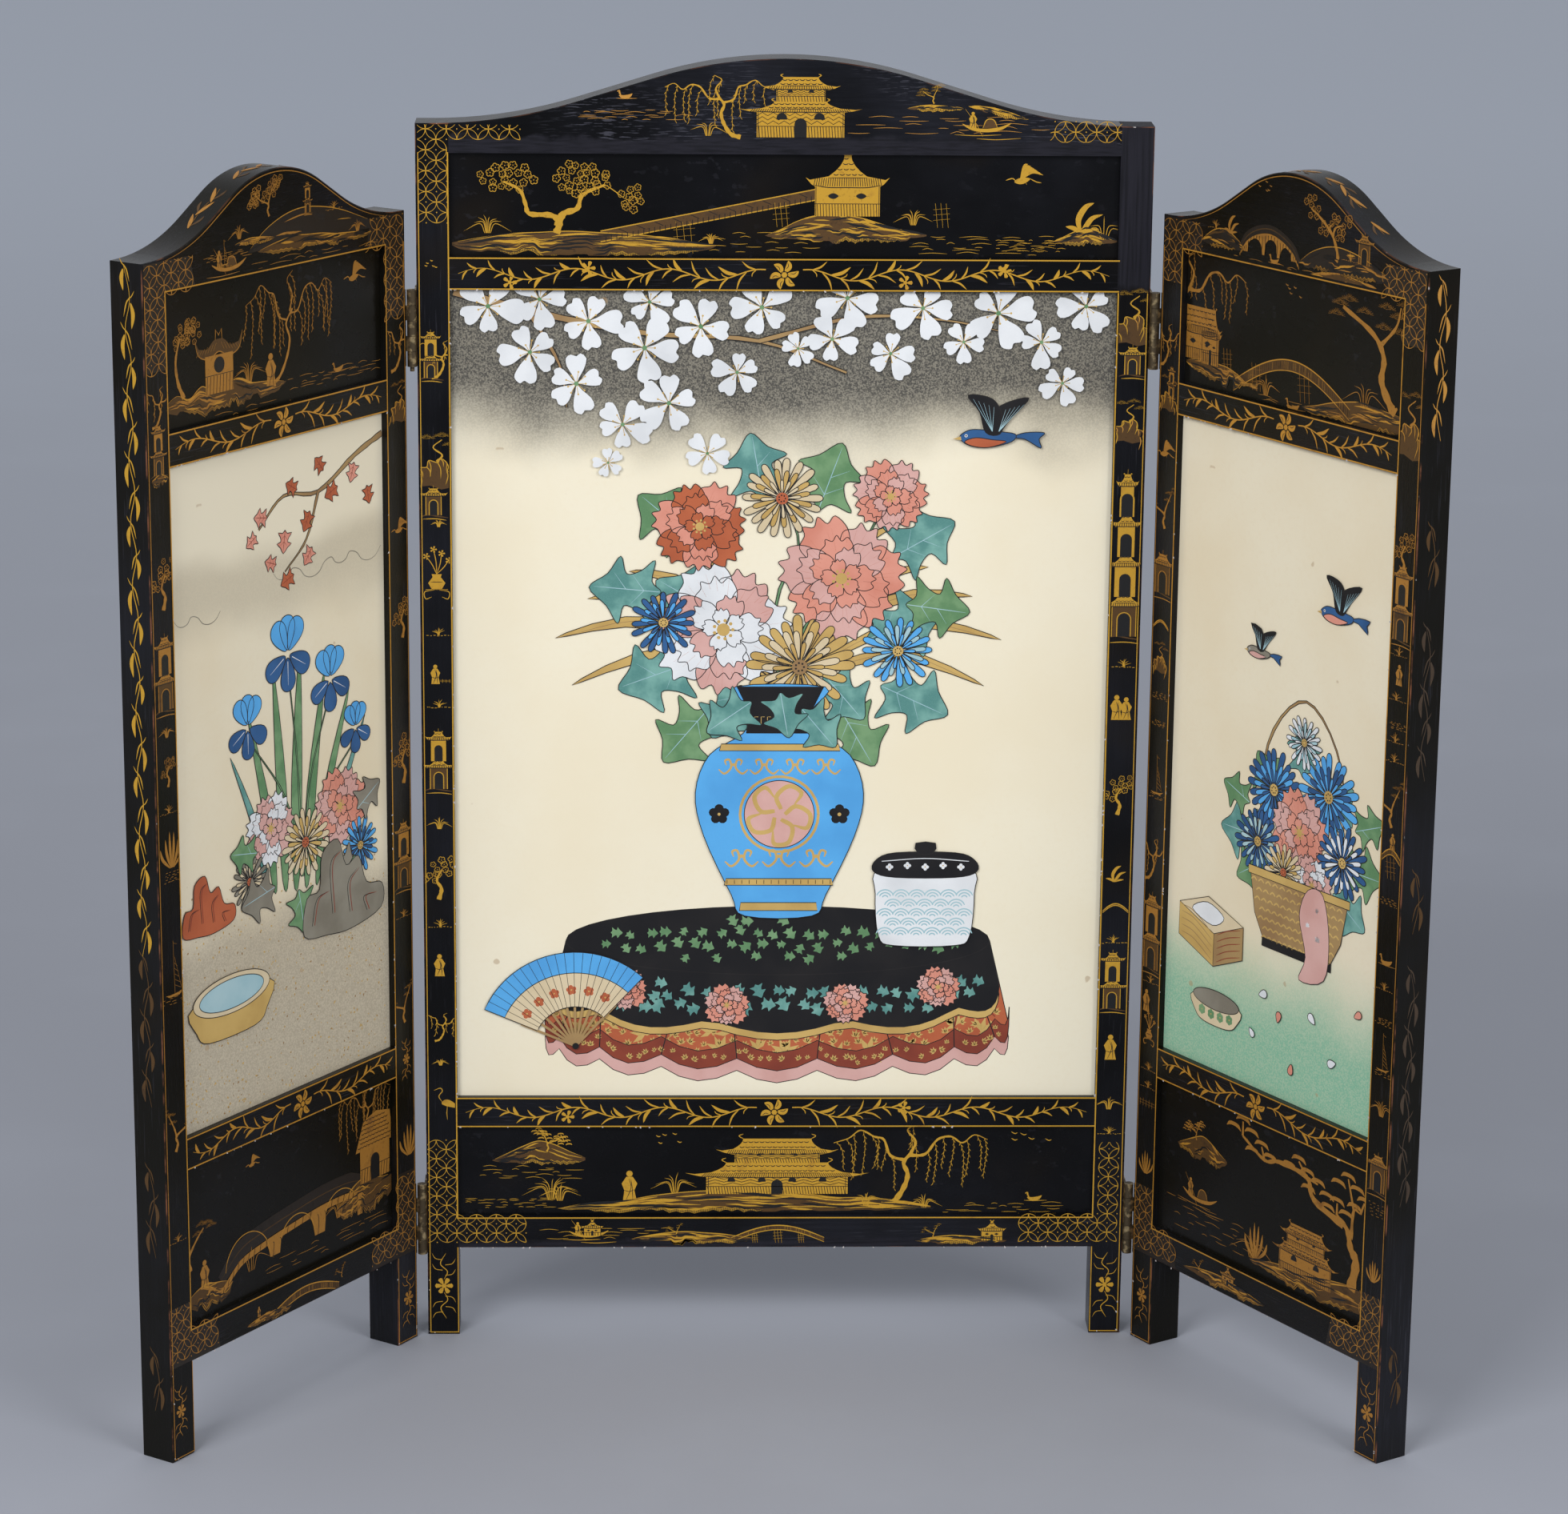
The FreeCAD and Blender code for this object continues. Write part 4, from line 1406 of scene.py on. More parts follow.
def aged_lacquer_group():
    """Lacquer with painted sheen, worn streaks, overpaint, brush grain and worn arrises."""
    tree, given = new_tree("aged_lacquer", "ShaderNodeTree", {
        "Place": "Vector", "Normal": "Vector", "Grain": "Vector", "Ground": "Color", "Haze": "Float",
        "Streaks": "Float", "Overpaint": "Float", "Wear": "Float", "Chips": "Float"},
        {"Colour": "Color", "Roughness": "Float", "Height": "Float"})
    cloud = noise(tree, given["Place"], 5.0, 4.0)
    brushed = noise(tree, given["Place"], 1.0, 4.0, given["Grain"])
    # Painted sheen: cloudy pale patches in place of reflections on the lacquer
    haze = times(tree, above(tree, cloud, 0.38, 0.72), given["Haze"])
    haze = times(tree, haze, sums(tree, "ADD", 0.4, brushed))
    colour = blend(tree, haze, given["Ground"], painted_sheen_colour)
    warm = above(tree, noise(tree, given["Place"], 9.0, 2.0), 0.52, 0.75)
    colour = blend(tree, times(tree, warm, 0.5), colour, lacquer_brown)
    fine = noise(tree, given["Place"], 2.6, 5.0, given["Grain"])
    sparse = above(tree, noise(tree, given["Place"], 11.0, 2.0), 0.44, 0.60)
    most = sums(tree, "MULTIPLY_ADD", given["Streaks"], 0.075, fine)
    streak = times(tree, above(tree, most, 0.62, 0.67), sparse)
    streak = times(tree, streak, given["Streaks"])
    colour = blend(tree, streak, colour, worn_streak)
    bristle = above(tree, noise(tree, given["Place"], 1.7, 6.0, given["Grain"]), 0.30, 0.62)
    cover = blend(tree, bristle, retouch_dark, retouch_grey)
    colour = blend(tree, given["Overpaint"], colour, cover)
    depth = axis(tree, given["Normal"], 1)
    slant = sums(tree, "ABSOLUTE", depth)
    arris = times(tree, above(tree, slant, 0.2, 0.4), above(tree, slant, 0.97, 0.85))
    ragged = above(tree, noise(tree, given["Place"], 38.0, 4.0), 0.44, 0.62)
    worn = times(tree, times(tree, arris, ragged), given["Wear"])
    colour = blend(tree, worn, colour, bare_ground)
    chips = above(tree, noise(tree, given["Place"], 110.0, 4.0), 0.66, 0.70)
    chips = times(tree, times(tree, arris, chips), given["Chips"])
    colour = blend(tree, chips, colour, chalk_ground)
    rough = sums(tree, "MULTIPLY_ADD", brushed, 0.14, 0.2)
    rough = sums(tree, "ADD", rough, times(tree, worn, 0.3))
    rough = sums(tree, "ADD", rough, times(tree, given["Overpaint"], 0.3))
    add(tree, "NodeGroupOutput", {"Colour": colour, "Roughness": rough, "Height": brushed})
    return tree


band_blur = 0.006


def band(tree, height, low, high):
    """1 between two heights, with soft ends."""
    return times(tree, above(tree, height, low - band_blur, low),
                 above(tree, height, high + band_blur, high))


def lacquer(name, body, ground, grain, haze, streaks, wear, chips=0.6, relief=0.022, overpaint=None):
    """Lacquer on one leaf, with a share of painted sheen in place of its reflections. The overpaint is the
    lowest and highest place of a repainted patch.
    """
    material, tree, shader = new_material(name)
    place = leaf_space(tree, body)
    cover = 0.0
    if overpaint:
        height = axis(tree, place, 2)
        jagged = noise(tree, place, 60.0, 4.0)
        low, high = overpaint
        cover = band(tree, sums(tree, "MULTIPLY_ADD", jagged, 0.02, height), low * mm, high * mm)
    aged = use_group(tree, aged_lacquer, {
        "Place": place, "Normal": leaf_space(tree, body, normal=True), "Grain": grain,
        "Ground": ground, "Haze": haze, "Streaks": streaks, "Overpaint": cover, "Wear": wear,
        "Chips": chips})
    dress(tree, shader, Base_Color=aged["Colour"], Roughness=aged["Roughness"],
          Normal=bump(tree, aged["Height"], relief * mm), Specular_IOR_Level=0.16)
    return material


def gilding(name, bright, worn, metallic, roughness):
    """Gold paint, rubbed thin in places."""
    material, tree, shader = new_material(name)
    place = object_place(tree)
    patch = above(tree, noise(tree, place, 70.0, 4.0), 0.56, 0.74)
    speck = above(tree, noise(tree, place, 420.0, 2.0), 0.58, 0.74)
    colour = blend(tree, times(tree, patch, 0.6), bright, worn)
    colour = blend(tree, times(tree, speck, 0.45), colour, worn)
    rough = sums(tree, "MULTIPLY_ADD", patch, 0.15, roughness)
    dress(tree, shader, Base_Color=colour, Roughness=rough, Metallic=metallic,
          Normal=bump(tree, noise(tree, place, 700.0, 2.0), 0.04 * mm))
    return material


def old_brass():
    material, tree, shader = new_material("old_brass")
    place = object_place(tree)
    rubbed = above(tree, noise(tree, place, 160.0, 4.0), 0.48, 0.66)
    dress(tree, shader, Base_Color=blend(tree, rubbed, brass_dark, brass_rubbed), Metallic=0.9,
          Roughness=sums(tree, "MULTIPLY_ADD", rubbed, -0.22, 0.55),
          Normal=bump(tree, noise(tree, place, 600.0), 0.05 * mm))
    return material


stile_grain = 260.0, 260.0, 9.0
rail_grain = 9.0, 260.0, 260.0
board_grain = 40.0, 40.0, 60.0
crest_grain = 26.0, 300.0, 300.0

aged_lacquer = aged_lacquer_group()

# Finishes: material name, bright and worn colour, metallic share and roughness
finish_table = {
    "gold": ("bright_gilding", rgb(0.66, 0.365, 0.032), rgb(0.36, 0.17, 0.018), 0.35, 0.38),
    "amber": ("amber_gilding", rgb(0.62, 0.30, 0.05), rgb(0.22, 0.09, 0.025), 0.35, 0.42),
    "bronze": ("bronze_shading", rgb(0.10, 0.048, 0.011), rgb(0.03, 0.014, 0.005), 0.3, 0.48),
    "umber": ("umber_shading", rgb(0.060, 0.036, 0.018), rgb(0.018, 0.011, 0.007), 0.1, 0.4),
    "ink": ("ink_lines", rgb(0.0025, 0.0022, 0.0022), rgb(0.010, 0.006, 0.004), 0.0, 0.4),
    "chalk": ("chalk_chips", chalk_ground, rgb(0.20, 0.15, 0.17), 0.0, 0.8),
}
# Darker copies of the gilt finishes for the wings: painted shade for the wings turned away from the light
wing_shaded_table = {
    "gold": ("wing_gilding", rgb(0.58, 0.28, 0.032), rgb(0.26, 0.11, 0.018), 0.35, 0.4),
    "amber": ("wing_amber", rgb(0.44, 0.20, 0.030), rgb(0.15, 0.06, 0.014), 0.35, 0.45),
    "umber": ("wing_umber", rgb(0.015, 0.009, 0.0045), rgb(0.008, 0.005, 0.003), 0.1, 0.45),
}
finishes = {name: gilding(*row) for name, row in finish_table.items()}
wing_shaded_finishes = {**finishes, **{name: gilding(*row) for name, row in wing_shaded_table.items()}}
brass = old_brass()


def paint_node(name, material):
    slots = frame["nodes"][name].data.materials
    for index in range(len(slots)):
        slots[index] = material
    if not slots:
        slots.append(material)


def picture_ground(body, washes):
    """Cream paper, mottled and foxed, with soft washes over it."""
    material, tree, shader = new_material(body + "_picture_ground")
    place = leaf_space(tree, body)
    height = axis(tree, place, 2)
    mottle = above(tree, noise(tree, place, 5.0, 6.0), 0.38, 0.72)
    # The middle picture gets the lighter paper, as painted light
    cream, stain = (painted_light_cream, painted_light_stain) if body == "centre" else (paper_cream, paper_stain)
    colour = blend(tree, mottle, cream, stain)
    fibre = noise(tree, place, 260.0, 5.0)
    colour = blend(tree, times(tree, above(tree, fibre, 0.45, 0.75), 0.25), colour, stain)
    for wash, begin, full, stray, grainy in washes:
        edge = sums(tree, "MULTIPLY_ADD", noise(tree, place, 8.0, 3.0), stray * mm, height)
        mask = above(tree, edge, begin * mm, full * mm)
        grain = above(tree, noise(tree, place, 800.0, 4.0), 0.36, 0.62)
        share = sums(tree, "MULTIPLY_ADD", grain, grainy, 1 - grainy)
        colour = blend(tree, times(tree, mask, share), colour, wash)
    spots = above(tree, noise(tree, place, 75.0, 1.0), 0.80, 0.84)
    colour = blend(tree, times(tree, spots, 0.5), colour, foxing_brown)
    dress(tree, shader, Base_Color=colour, Roughness=sums(tree, "MULTIPLY_ADD", fibre, 0.2, 0.42),
          Specular_IOR_Level=0.3, Normal=bump(tree, fibre, 0.03 * mm))
    return material


# Washes: colour, heights where it begins and is full, how far its edge strays, how grainy it is
picture_washes = {
    "centre": ((dusk_wash, 800, 880, 90, 0.22),),
    "left_wing": ((mist_wash, 690, 740, 70, 0.15), (paper_cream, 742, 770, 50, 0.0),
                  (sand_and_shade_wash, 478, 424, 40, 0.3)),
    "right_wing": ((meadow_wash, 440, 350, 50, 0.25),),
}

for body in faces:
    # The wings get the lighter black, which carries painted sheen
    dark = lacquer_black if body == "centre" else wing_black_painted_sheen
    stile = lacquer(body + "_stile_lacquer", body, dark, stile_grain, 0.7, 0.25, 0.8)
    rail = lacquer(body + "_rail_lacquer", body, dark, rail_grain, 0.7, 0.3, 0.8,
                   overpaint=(84, 94) if body == "centre" else None)
    middle = body == "centre"
    crest = lacquer(body + "_crest_lacquer", body, dark, crest_grain, 0.9, 0.9 if middle else 0.2,
                    0.25, 0.1, 0.012, overpaint=(1028, 1046) if middle else None)
    board = lacquer(body + "_board_lacquer", body, dark, board_grain, 0.3, 0.12, 0.0, 0.0, 0.02)
    paper = picture_ground(body, picture_washes[body])
    for node in frame["record"]["behaviour"]["bodies"][body]:
        if not node.startswith(body + "_"):
            paint_node(node, brass)
        elif node.endswith("picture_panel"):
            paint_node(node, paper)
        elif node == "centre_right_stile":
            paint_node(node, lacquer("centre_repainted_lacquer", body, dark, stile_grain, 0.7, 0.25,
                                     0.6, overpaint=(930, 1200)))
        elif node.endswith("stile"):
            paint_node(node, stile)
        elif node.endswith("crest_rail"):
            paint_node(node, crest)
        elif node.endswith("rail"):
            paint_node(node, rail)
        else:
            paint_node(node, board)


# Camera, floor and lights

camera_place = -0.10855, -3.74154, 1.58788
camera_pitch = 0.2696
camera_yaw = 0.0304
camera_roll = -0.0095
camera_lens = 109.75
floor_half = 30.0
# The floor's colour is darker near the camera and lighter far off: painted light across the floor
floor_near_painted_shade = rgb(0.325, 0.338, 0.385)
floor_far_painted_light = rgb(0.52, 0.56, 0.64)


def stand_camera():
    data = bpy.data.cameras.new("camera")
    data.lens = camera_lens
    data.sensor_width = 36.0
    data.sensor_fit = "HORIZONTAL"
    thing = in_scene("camera", data)
    turn = Matrix.Rotation(-camera_yaw, 4, "Z") @ Matrix.Rotation(
        math.pi / 2 - camera_pitch, 4, "X") @ Matrix.Rotation(-camera_roll, 4, "Z")
    thing.matrix_world = Matrix.Translation(camera_place) @ turn
    bpy.context.scene.camera = thing


def softbox(name, place, target, size, energy):
    data = bpy.data.lights.new(name, "AREA")
    data.shape = "RECTANGLE"
    data.size, data.size_y = size
    data.energy = energy
    thing = in_scene(name, data)
    thing.location = place
    thing.rotation_euler = (Vector(target) - Vector(place)).to_track_quat("-Z", "Y").to_euler()


def lay_floor():
    corners = [(x * floor_half, y * floor_half, 0) for x, y in ((-1, -1), (1, -1), (1, 1), (-1, 1))]
    mesh = new_mesh("floor", corners, shapes=[(0, 1, 2, 3)])
    floor = in_scene("floor", mesh)
    material, tree, shader = new_material("paper_floor")
    place = object_place(tree)
    depth = axis(tree, place, 1)
    # Painted light: the floor darker near the camera and lighter far away
    colour = blend(tree, above(tree, depth, 0.5, 8.0), floor_near_painted_shade, floor_far_painted_light)
    scuff = times(tree, above(tree, noise(tree, place, 3.0, 5.0), 0.45, 0.75), 0.08)
    dress(tree, shader, Base_Color=blend(tree, scuff, colour, floor_far_painted_light), Roughness=0.7)
    mesh.materials.append(material)


def light_world():
    world = bpy.data.worlds.new("studio")
    world.use_nodes = True
    background = world.node_tree.nodes["Background"].inputs
    background["Color"].default_value = rgb(0.92, 0.95, 1.0)
    background["Strength"].default_value = 0.55
    bpy.context.scene.world = world


stand_camera()
lay_floor()
light_world()
softbox("key", (-2.2, -3.2, 3.2), (0, 0, 0.5), (2.2, 1.6), 120)
softbox("fill", (2.6, -3.0, 2.6), (0, 0, 0.5), (1.8, 1.8), 70)
bpy.context.scene.view_settings.view_transform = "Standard"


# Scenes on the leaves: motif, place, size and what sets it apart

def lay(drawing, table, finish):
    for motif, place, size, *rest in table:
        options = dict(rest[0]) if rest else {}
        own = {key: options.pop(key) for key in ("mirrored", "finish", "turn")
               if key in options}
        own.setdefault("finish", finish)
        motif(Pen(drawing, complex(place), size, **own), **options)


ramp_planks = 40
ramp_posts = 12


def ramp(pen, rise=0.2, thick=0.05):
    """A planked causeway that climbs to the right. The size is its length."""
    low, high = 0, 1 + 1j * rise
    pen.fill([low - 1j * thick, high - 1j * thick, high, low], "bronze")
    pen.line([low, high], 1.2 * fine_line, ends=(1, 1))
    pen.line([low - 1j * thick, high - 1j * thick], 1.2 * fine_line, ends=(1, 1))
    for step in range(1, ramp_planks):
        foot = high * step / ramp_planks - 0.6j * thick
        pen.score([foot, foot - 0.45j * thick])
    for step in range(1, ramp_posts):
        foot = high * step / ramp_posts - 0.1j * thick
        pen.score([foot, foot + 0.04 - 0.35j * thick])


low_tuft = 7.5

# Storeys: wall half width and height, then roof half width, ridge half width and height
one_storey = ((0.5, 0.46, 0.60, 0.05, 0.50),)
gate_storeys = ((0.5, 0.30, 0.65, 0.30, 0.12), (0.28, 0.15, 0.42, 0.20, 0.14))
hall_storeys = ((0.5, 0.135, 0.60, 0.36, 0.11), (0.30, 0.075, 0.40, 0.24, 0.115))
corner_storeys = ((0.5, 0.5, 0.58, 0.42, 0.5),)
spire_storeys = ((0.5, 1.0, 0.62, 0.06, 0.85),)
moon_storeys = ((0.5, 0.28, 0.6, 0.42, 0.13), (0.36, 0.13, 0.47, 0.3, 0.16))

bent_pine_limbs = (
    ([0, -0.08 + 0.06j, -0.24 + 0.3j, -0.22 + 0.55j, -0.4 + 0.78j, -0.9 + 1.0j], 0.12),
    ([-0.3 + 0.66j, -0.05 + 0.9j, 0.02 + 1.12j], 0.05),
)
bent_pine_heads = (-0.95 + 1.02j, -0.8 + 1.08j, -1.0 + 0.9j, -0.55 + 0.98j, -0.02 + 1.0j,
                   0.08 + 1.14j, -0.24 + 0.86j, -0.2 + 1.08j, 0.02 + 0.84j)

spread_tree_limbs = (
    ([0, -0.1 + 0.25j, -0.04 + 0.5j, -0.55 + 0.72j, -0.9 + 1.0j], 0.11),
    ([-0.06 + 0.45j, 0.06 + 0.8j, 0.3 + 1.25j], 0.08),
)
spread_tree_heads = (-1.0 + 0.86j, -0.85 + 1.1j, -0.6 + 0.8j, -1.1 + 0.62j, 0.1 + 1.0j,
                     0.36 + 1.3j, 0.5 + 1.45j, 0.16 + 1.25j)

cliff_tree_limbs = (
    ([0, 0.03 + 0.1j, -0.12 + 0.4j, -0.42 + 0.62j, -0.62 + 0.72j], 0.07),
    ([-0.1 + 0.35j, -0.04 + 0.5j, 0.14 + 0.56j], 0.05),
    ([-0.1 + 0.38j, -0.2 + 0.46j, -0.1 + 0.56j], 0.04),
)
cliff_tree_heads = (-0.66 + 0.84j, -0.56 + 0.68j, -0.3 + 0.46j, -0.08 + 0.62j, 0.2 + 0.62j,
                    0.06 + 0.42j)

cloud_pine_limbs = (
    ([0, 0.05 + 0.24j, -0.02 + 0.34j, -0.07 + 0.48j, -0.2 + 0.56j], 0.1),
    ([-0.12 + 0.5j, -0.48 + 0.6j, -0.58 + 0.76j, -0.92 + 0.78j, -1.1 + 0.74j, -1.38 + 0.86j], 0.06),
    ([-0.02 + 0.42j, 0.0 + 0.66j, 0.08 + 0.66j], 0.04),
)
cloud_pine_heads = (-1.38 + 0.98j, -1.14 + 0.84j, -0.68 + 0.86j, -0.44 + 0.74j, -0.08 + 0.9j,
                    0.12 + 0.76j, -0.2 + 0.66j)


def spread_tree(pen, kind="needles", head_share=0.2):
    tree(pen, spread_tree_limbs, spread_tree_heads, kind, head_share)


tall_gate = partial(gate, storeys=2)
hut = partial(building, storeys=one_storey)
still_water = partial(water, height_share=0.1)
small_willow = partial(willow, strands=7)


def low_shore(pen, **more):
    land(pen, low_shore_shares, **more)


def isle(pen, **more):
    land(pen, isle_shares, **more)


isle_shares = (0, 0.08, 0.16, 0.22, 0.18, 0.1, 0.03)
low_shore_shares = (0, 0.03, 0.05, 0.06, 0.05, 0.04, 0.02, 0)
hill_shares = (0, 0.08, 0.13, 0.16, 0.17, 0.16, 0.14, 0.11, 0.07, 0.03)

centre_boards_scene = (
    (land, 29 + 950j, 215, {"ridge_shares": (0.01, 0.03, 0.045, 0.05, 0.055, 0.05, 0.045, 0.035,
                                             0.02, 0.005), "streaks": 40}),
    (scallop_tree, 114 + 960j, 57),
    (grass, 58 + 960j, 17),
    (ramp, 150 + 962j, 176),
    (trestle, 218 + 944j, 26),
    (trestle, 297 + 966j, 20),
    (land, 284 + 959j, 132, {"ridge_shares": (0, 0.04, 0.09, 0.12, 0.13, 0.125, 0.11, 0.08, 0.05,
                                              0.03, 0.01), "streaks": 34}),
    (building, 351 + 975j, 53, {"storeys": one_storey, "door": False}),
    (grass, 405 + 968j, 15),
    (trestle, 428 + 966j, 20),
    (grass, 240 + 952j, 10),
    (crane, 484 + 1004j, 26),
    (isle, 520 + 955j, 52),
    (broad_leaves, 542 + 962j, 25),
    (grass, 561 + 957j, 20, {"blades": 5}),
    (water, 232 + 962j, 90, {"height_share": 0.2}),
    (water, 398 + 960j, 120, {"height_share": 0.14, "rows": 6}),
    (water, 470 + 957j, 55, {"height_share": 0.2}),
    (isle, 56 + 158j, 80),
    (spread_tree, 103 + 166j, 14, {"kind": "pads", "head_share": 0.2, "mirrored": True}),
    (water, 36 + 153j, 90, {"height_share": 0.14}),
    (grass, 107 + 122j, 24, {"blades": 11}),
    (grass, 114 + 121j, 18, {"blades": 9}),
    (figure, 174 + 121j, 28),
    (flock, 195 + 176j, 24),
    (grass, 213 + 128j, 20),
    (land, 112 + 114j, 322, {"ridge_shares": (0, 0.015, 0.02, 0.035, 0.045, 0.05, 0.05, 0.045,
                                              0.04, 0.03, 0.03, 0.02, 0.005),
                             "depth_share": 0.014, "streaks": 60, "combs": 5}),
    (building, 301 + 127j, 122, {"storeys": hall_storeys, "kind": "arch"}),
    (willow, 410 + 116j, 72, {"strands": 19, "fall": 0.5}),
    (grass, 378 + 116j, 15),
    (grass, 428 + 114j, 14),
    (duck, 516 + 122j, 14),
    (flock, 505 + 177j, 34),
    (water, 440 + 119j, 100, {"height_share": 0.12}),
    (water, 32 + 124j, 70, {"height_share": 0.14}),
)

centre_frame_scene = (
    (duck, 164 + 1072j, 12, {"finish": "amber"}),
    (grass, 237 + 1041j, 15, {"blades": 6}),
    (willow, 250 + 1040j, 48, {"mirrored": True, "strands": 13}),
    (building, 312 + 1040j, 71, {"storeys": gate_storeys, "kind": "arch"}),
    (spread_tree, 420 + 1068j, 10, {"head_share": 0.4}),
    (low_shore, 398 + 1064j, 46),
    (boat, 443 + 1047j, 40),
    (low_shore, 448 + 1066j, 50, {"turn": -12}),
    (water, 350 + 1058j, 150, {"height_share": 0.1, "finish": "amber"}),
    (water, 120 + 1062j, 90, {"height_share": 0.1, "finish": "amber"}),
    (flock, 7 + 935j, 14),
    (tall_gate, 11 + 841j, 13),
    (small_willow, 20 + 841j, 30),
    (crag, 14 + 750j, 46),
    (gate, 12 + 726j, 15),
    (grass, 16 + 716j, 7),
    (vase, 14 + 655j, 42),
    (sedge, 15 + 624j, low_tuft),
    (figure, 12 + 582j, 17),
    (fence, 15 + 583j, 9, {"posts": 4}),
    (sedge, 15 + 562j, low_tuft),
    (tall_gate, 14 + 491j, 17),
    (grass, 14 + 456j, 11),
    (round_tree, 13 + 394j, 38),
    (sedge, 14 + 370j, low_tuft),
    (figure, 13 + 326j, 20),
    (small_willow, 15 + 268j, 24),
    (grass, 13 + 246j, 7),
    (heron, 13 + 197j, 30),
    (spray, 14 + 45j, 60),
    (crag, 586 + 872j, 46),
    (gate, 587 + 846j, 15),
    (crag, 585 + 790j, 36),
    (gate, 586 + 624j, 24, {"storeys": 4}),
    (sedge, 587 + 598j, low_tuft),
    (figure, 582 + 552j, 22),
    (figure, 590 + 552j, 20),
    (round_tree, 585 + 469j, 34),
    (broad_leaves, 584 + 410j, 14),
    (bridge, 575 + 384j, 22, {"rise": 0.3}),
    (sedge, 585 + 356j, low_tuft),
    (tall_gate, 585 + 297j, 17),
    (figure, 585 + 251j, 23),
    (grass, 585 + 206j, 13),
    (sedge, 586 + 184j, low_tuft),
    (spray, 586 + 45j, 60),
    (boat, 122 + 91j, 34),
    (hut, 142 + 91j, 15),
    (still_water, 95 + 99j, 120),
    (bridge, 262 + 89j, 80, {"rise": 0.14, "thick": 0.05, "props": 3}),
    (low_shore, 175 + 88j, 110),
    (spread_tree, 215 + 90j, 8),
    (spread_tree, 437 + 88j, 9),
    (low_shore, 420 + 86j, 80),
    (hut, 487 + 86j, 19),
)

left_boards_scene = (
    (tree, 52 + 868j, 34, {"limbs": (([0, -0.2 + 0.4j, -0.26 + 0.9j, -0.1 + 1.4j], 0.12),),
                           "heads": (0.05 + 1.55j, 0.32 + 1.4j, -0.1 + 1.3j, 0.3 + 1.65j),
                            "kind": "tufts", "head_share": 0.3}),
    (land, 29 + 862j, 148, {"ridge_shares": (0.02, 0.06, 0.03, 0.08, 0.04, 0.06, 0.08, 0.04, 0.03,
                                             0.02, 0), "depth_share": 0.09, "streaks": 36}),
    (crescent_roof, 95 + 866j, 58),
    (grass, 131 + 868j, 21, {"blades": 9}),
    (figure, 158 + 860j, 28),
    (willow, 178 + 862j, 84, {"strands": 21, "fall": 0.45, "thick": 0.036, "reach": 0.7}),
    (crane, 256 + 932j, 25),
    (duck, 236 + 861j, 14),
    (still_water, 178 + 864j, 112),
    (water, 60 + 850j, 120, {"height_share": 0.05, "rows": 2}),
    (tree, 34 + 154j, 24, {"limbs": (([0, -0.08 + 0.5j, 0.3 + 1j, 0.7 + 1.35j], 0.14),),
                           "heads": (0.9 + 1.45j, 0.6 + 1.5j, 1.1 + 1.3j, 0.4 + 1.2j),
                           "head_share": 0.3}),
    (land, 30 + 128j, 56, {"ridge_shares": (0.04, 0.12, 0.16, 0.12, 0.08, 0.02), "depth_share": 0.3,
                           "streaks": 20}),
    (figure, 51 + 134j, 25),
    (stone_bridge, 71 + 134j, 184, {"deck": (0, 0.14 + 0.1j, 0.3 + 0.135j, 0.5 + 0.16j,
                                             0.72 + 0.18j, 0.9 + 0.18j, 1.02 + 0.16j),
                                    "openings": ((0.19 + 0.01j, 0.15), (0.54 + 0.02j, 0.12),
                                                 (0.86 + 0.04j, 0.12))}),
    (grass, 110 + 130j, 26, {"blades": 5}),
    (grass, 226 + 140j, 22, {"blades": 9}),
    (land, 222 + 146j, 78, {"ridge_shares": (0, 0.1, 0.2, 0.24, 0.2, 0.16, 0.15),
                            "depth_share": 0.2, "streaks": 26}),
    (tall_roof, 276 + 160j, 50),
    (willow, 268 + 196j, 50, {"strands": 15, "fall": 0.8, "thick": 0.05, "reach": 0.8,
                              "mirrored": True}),
    (crane, 108 + 221j, 16),
    (water, 120 + 130j, 150, {"height_share": 0.1, "rows": 4}),
)

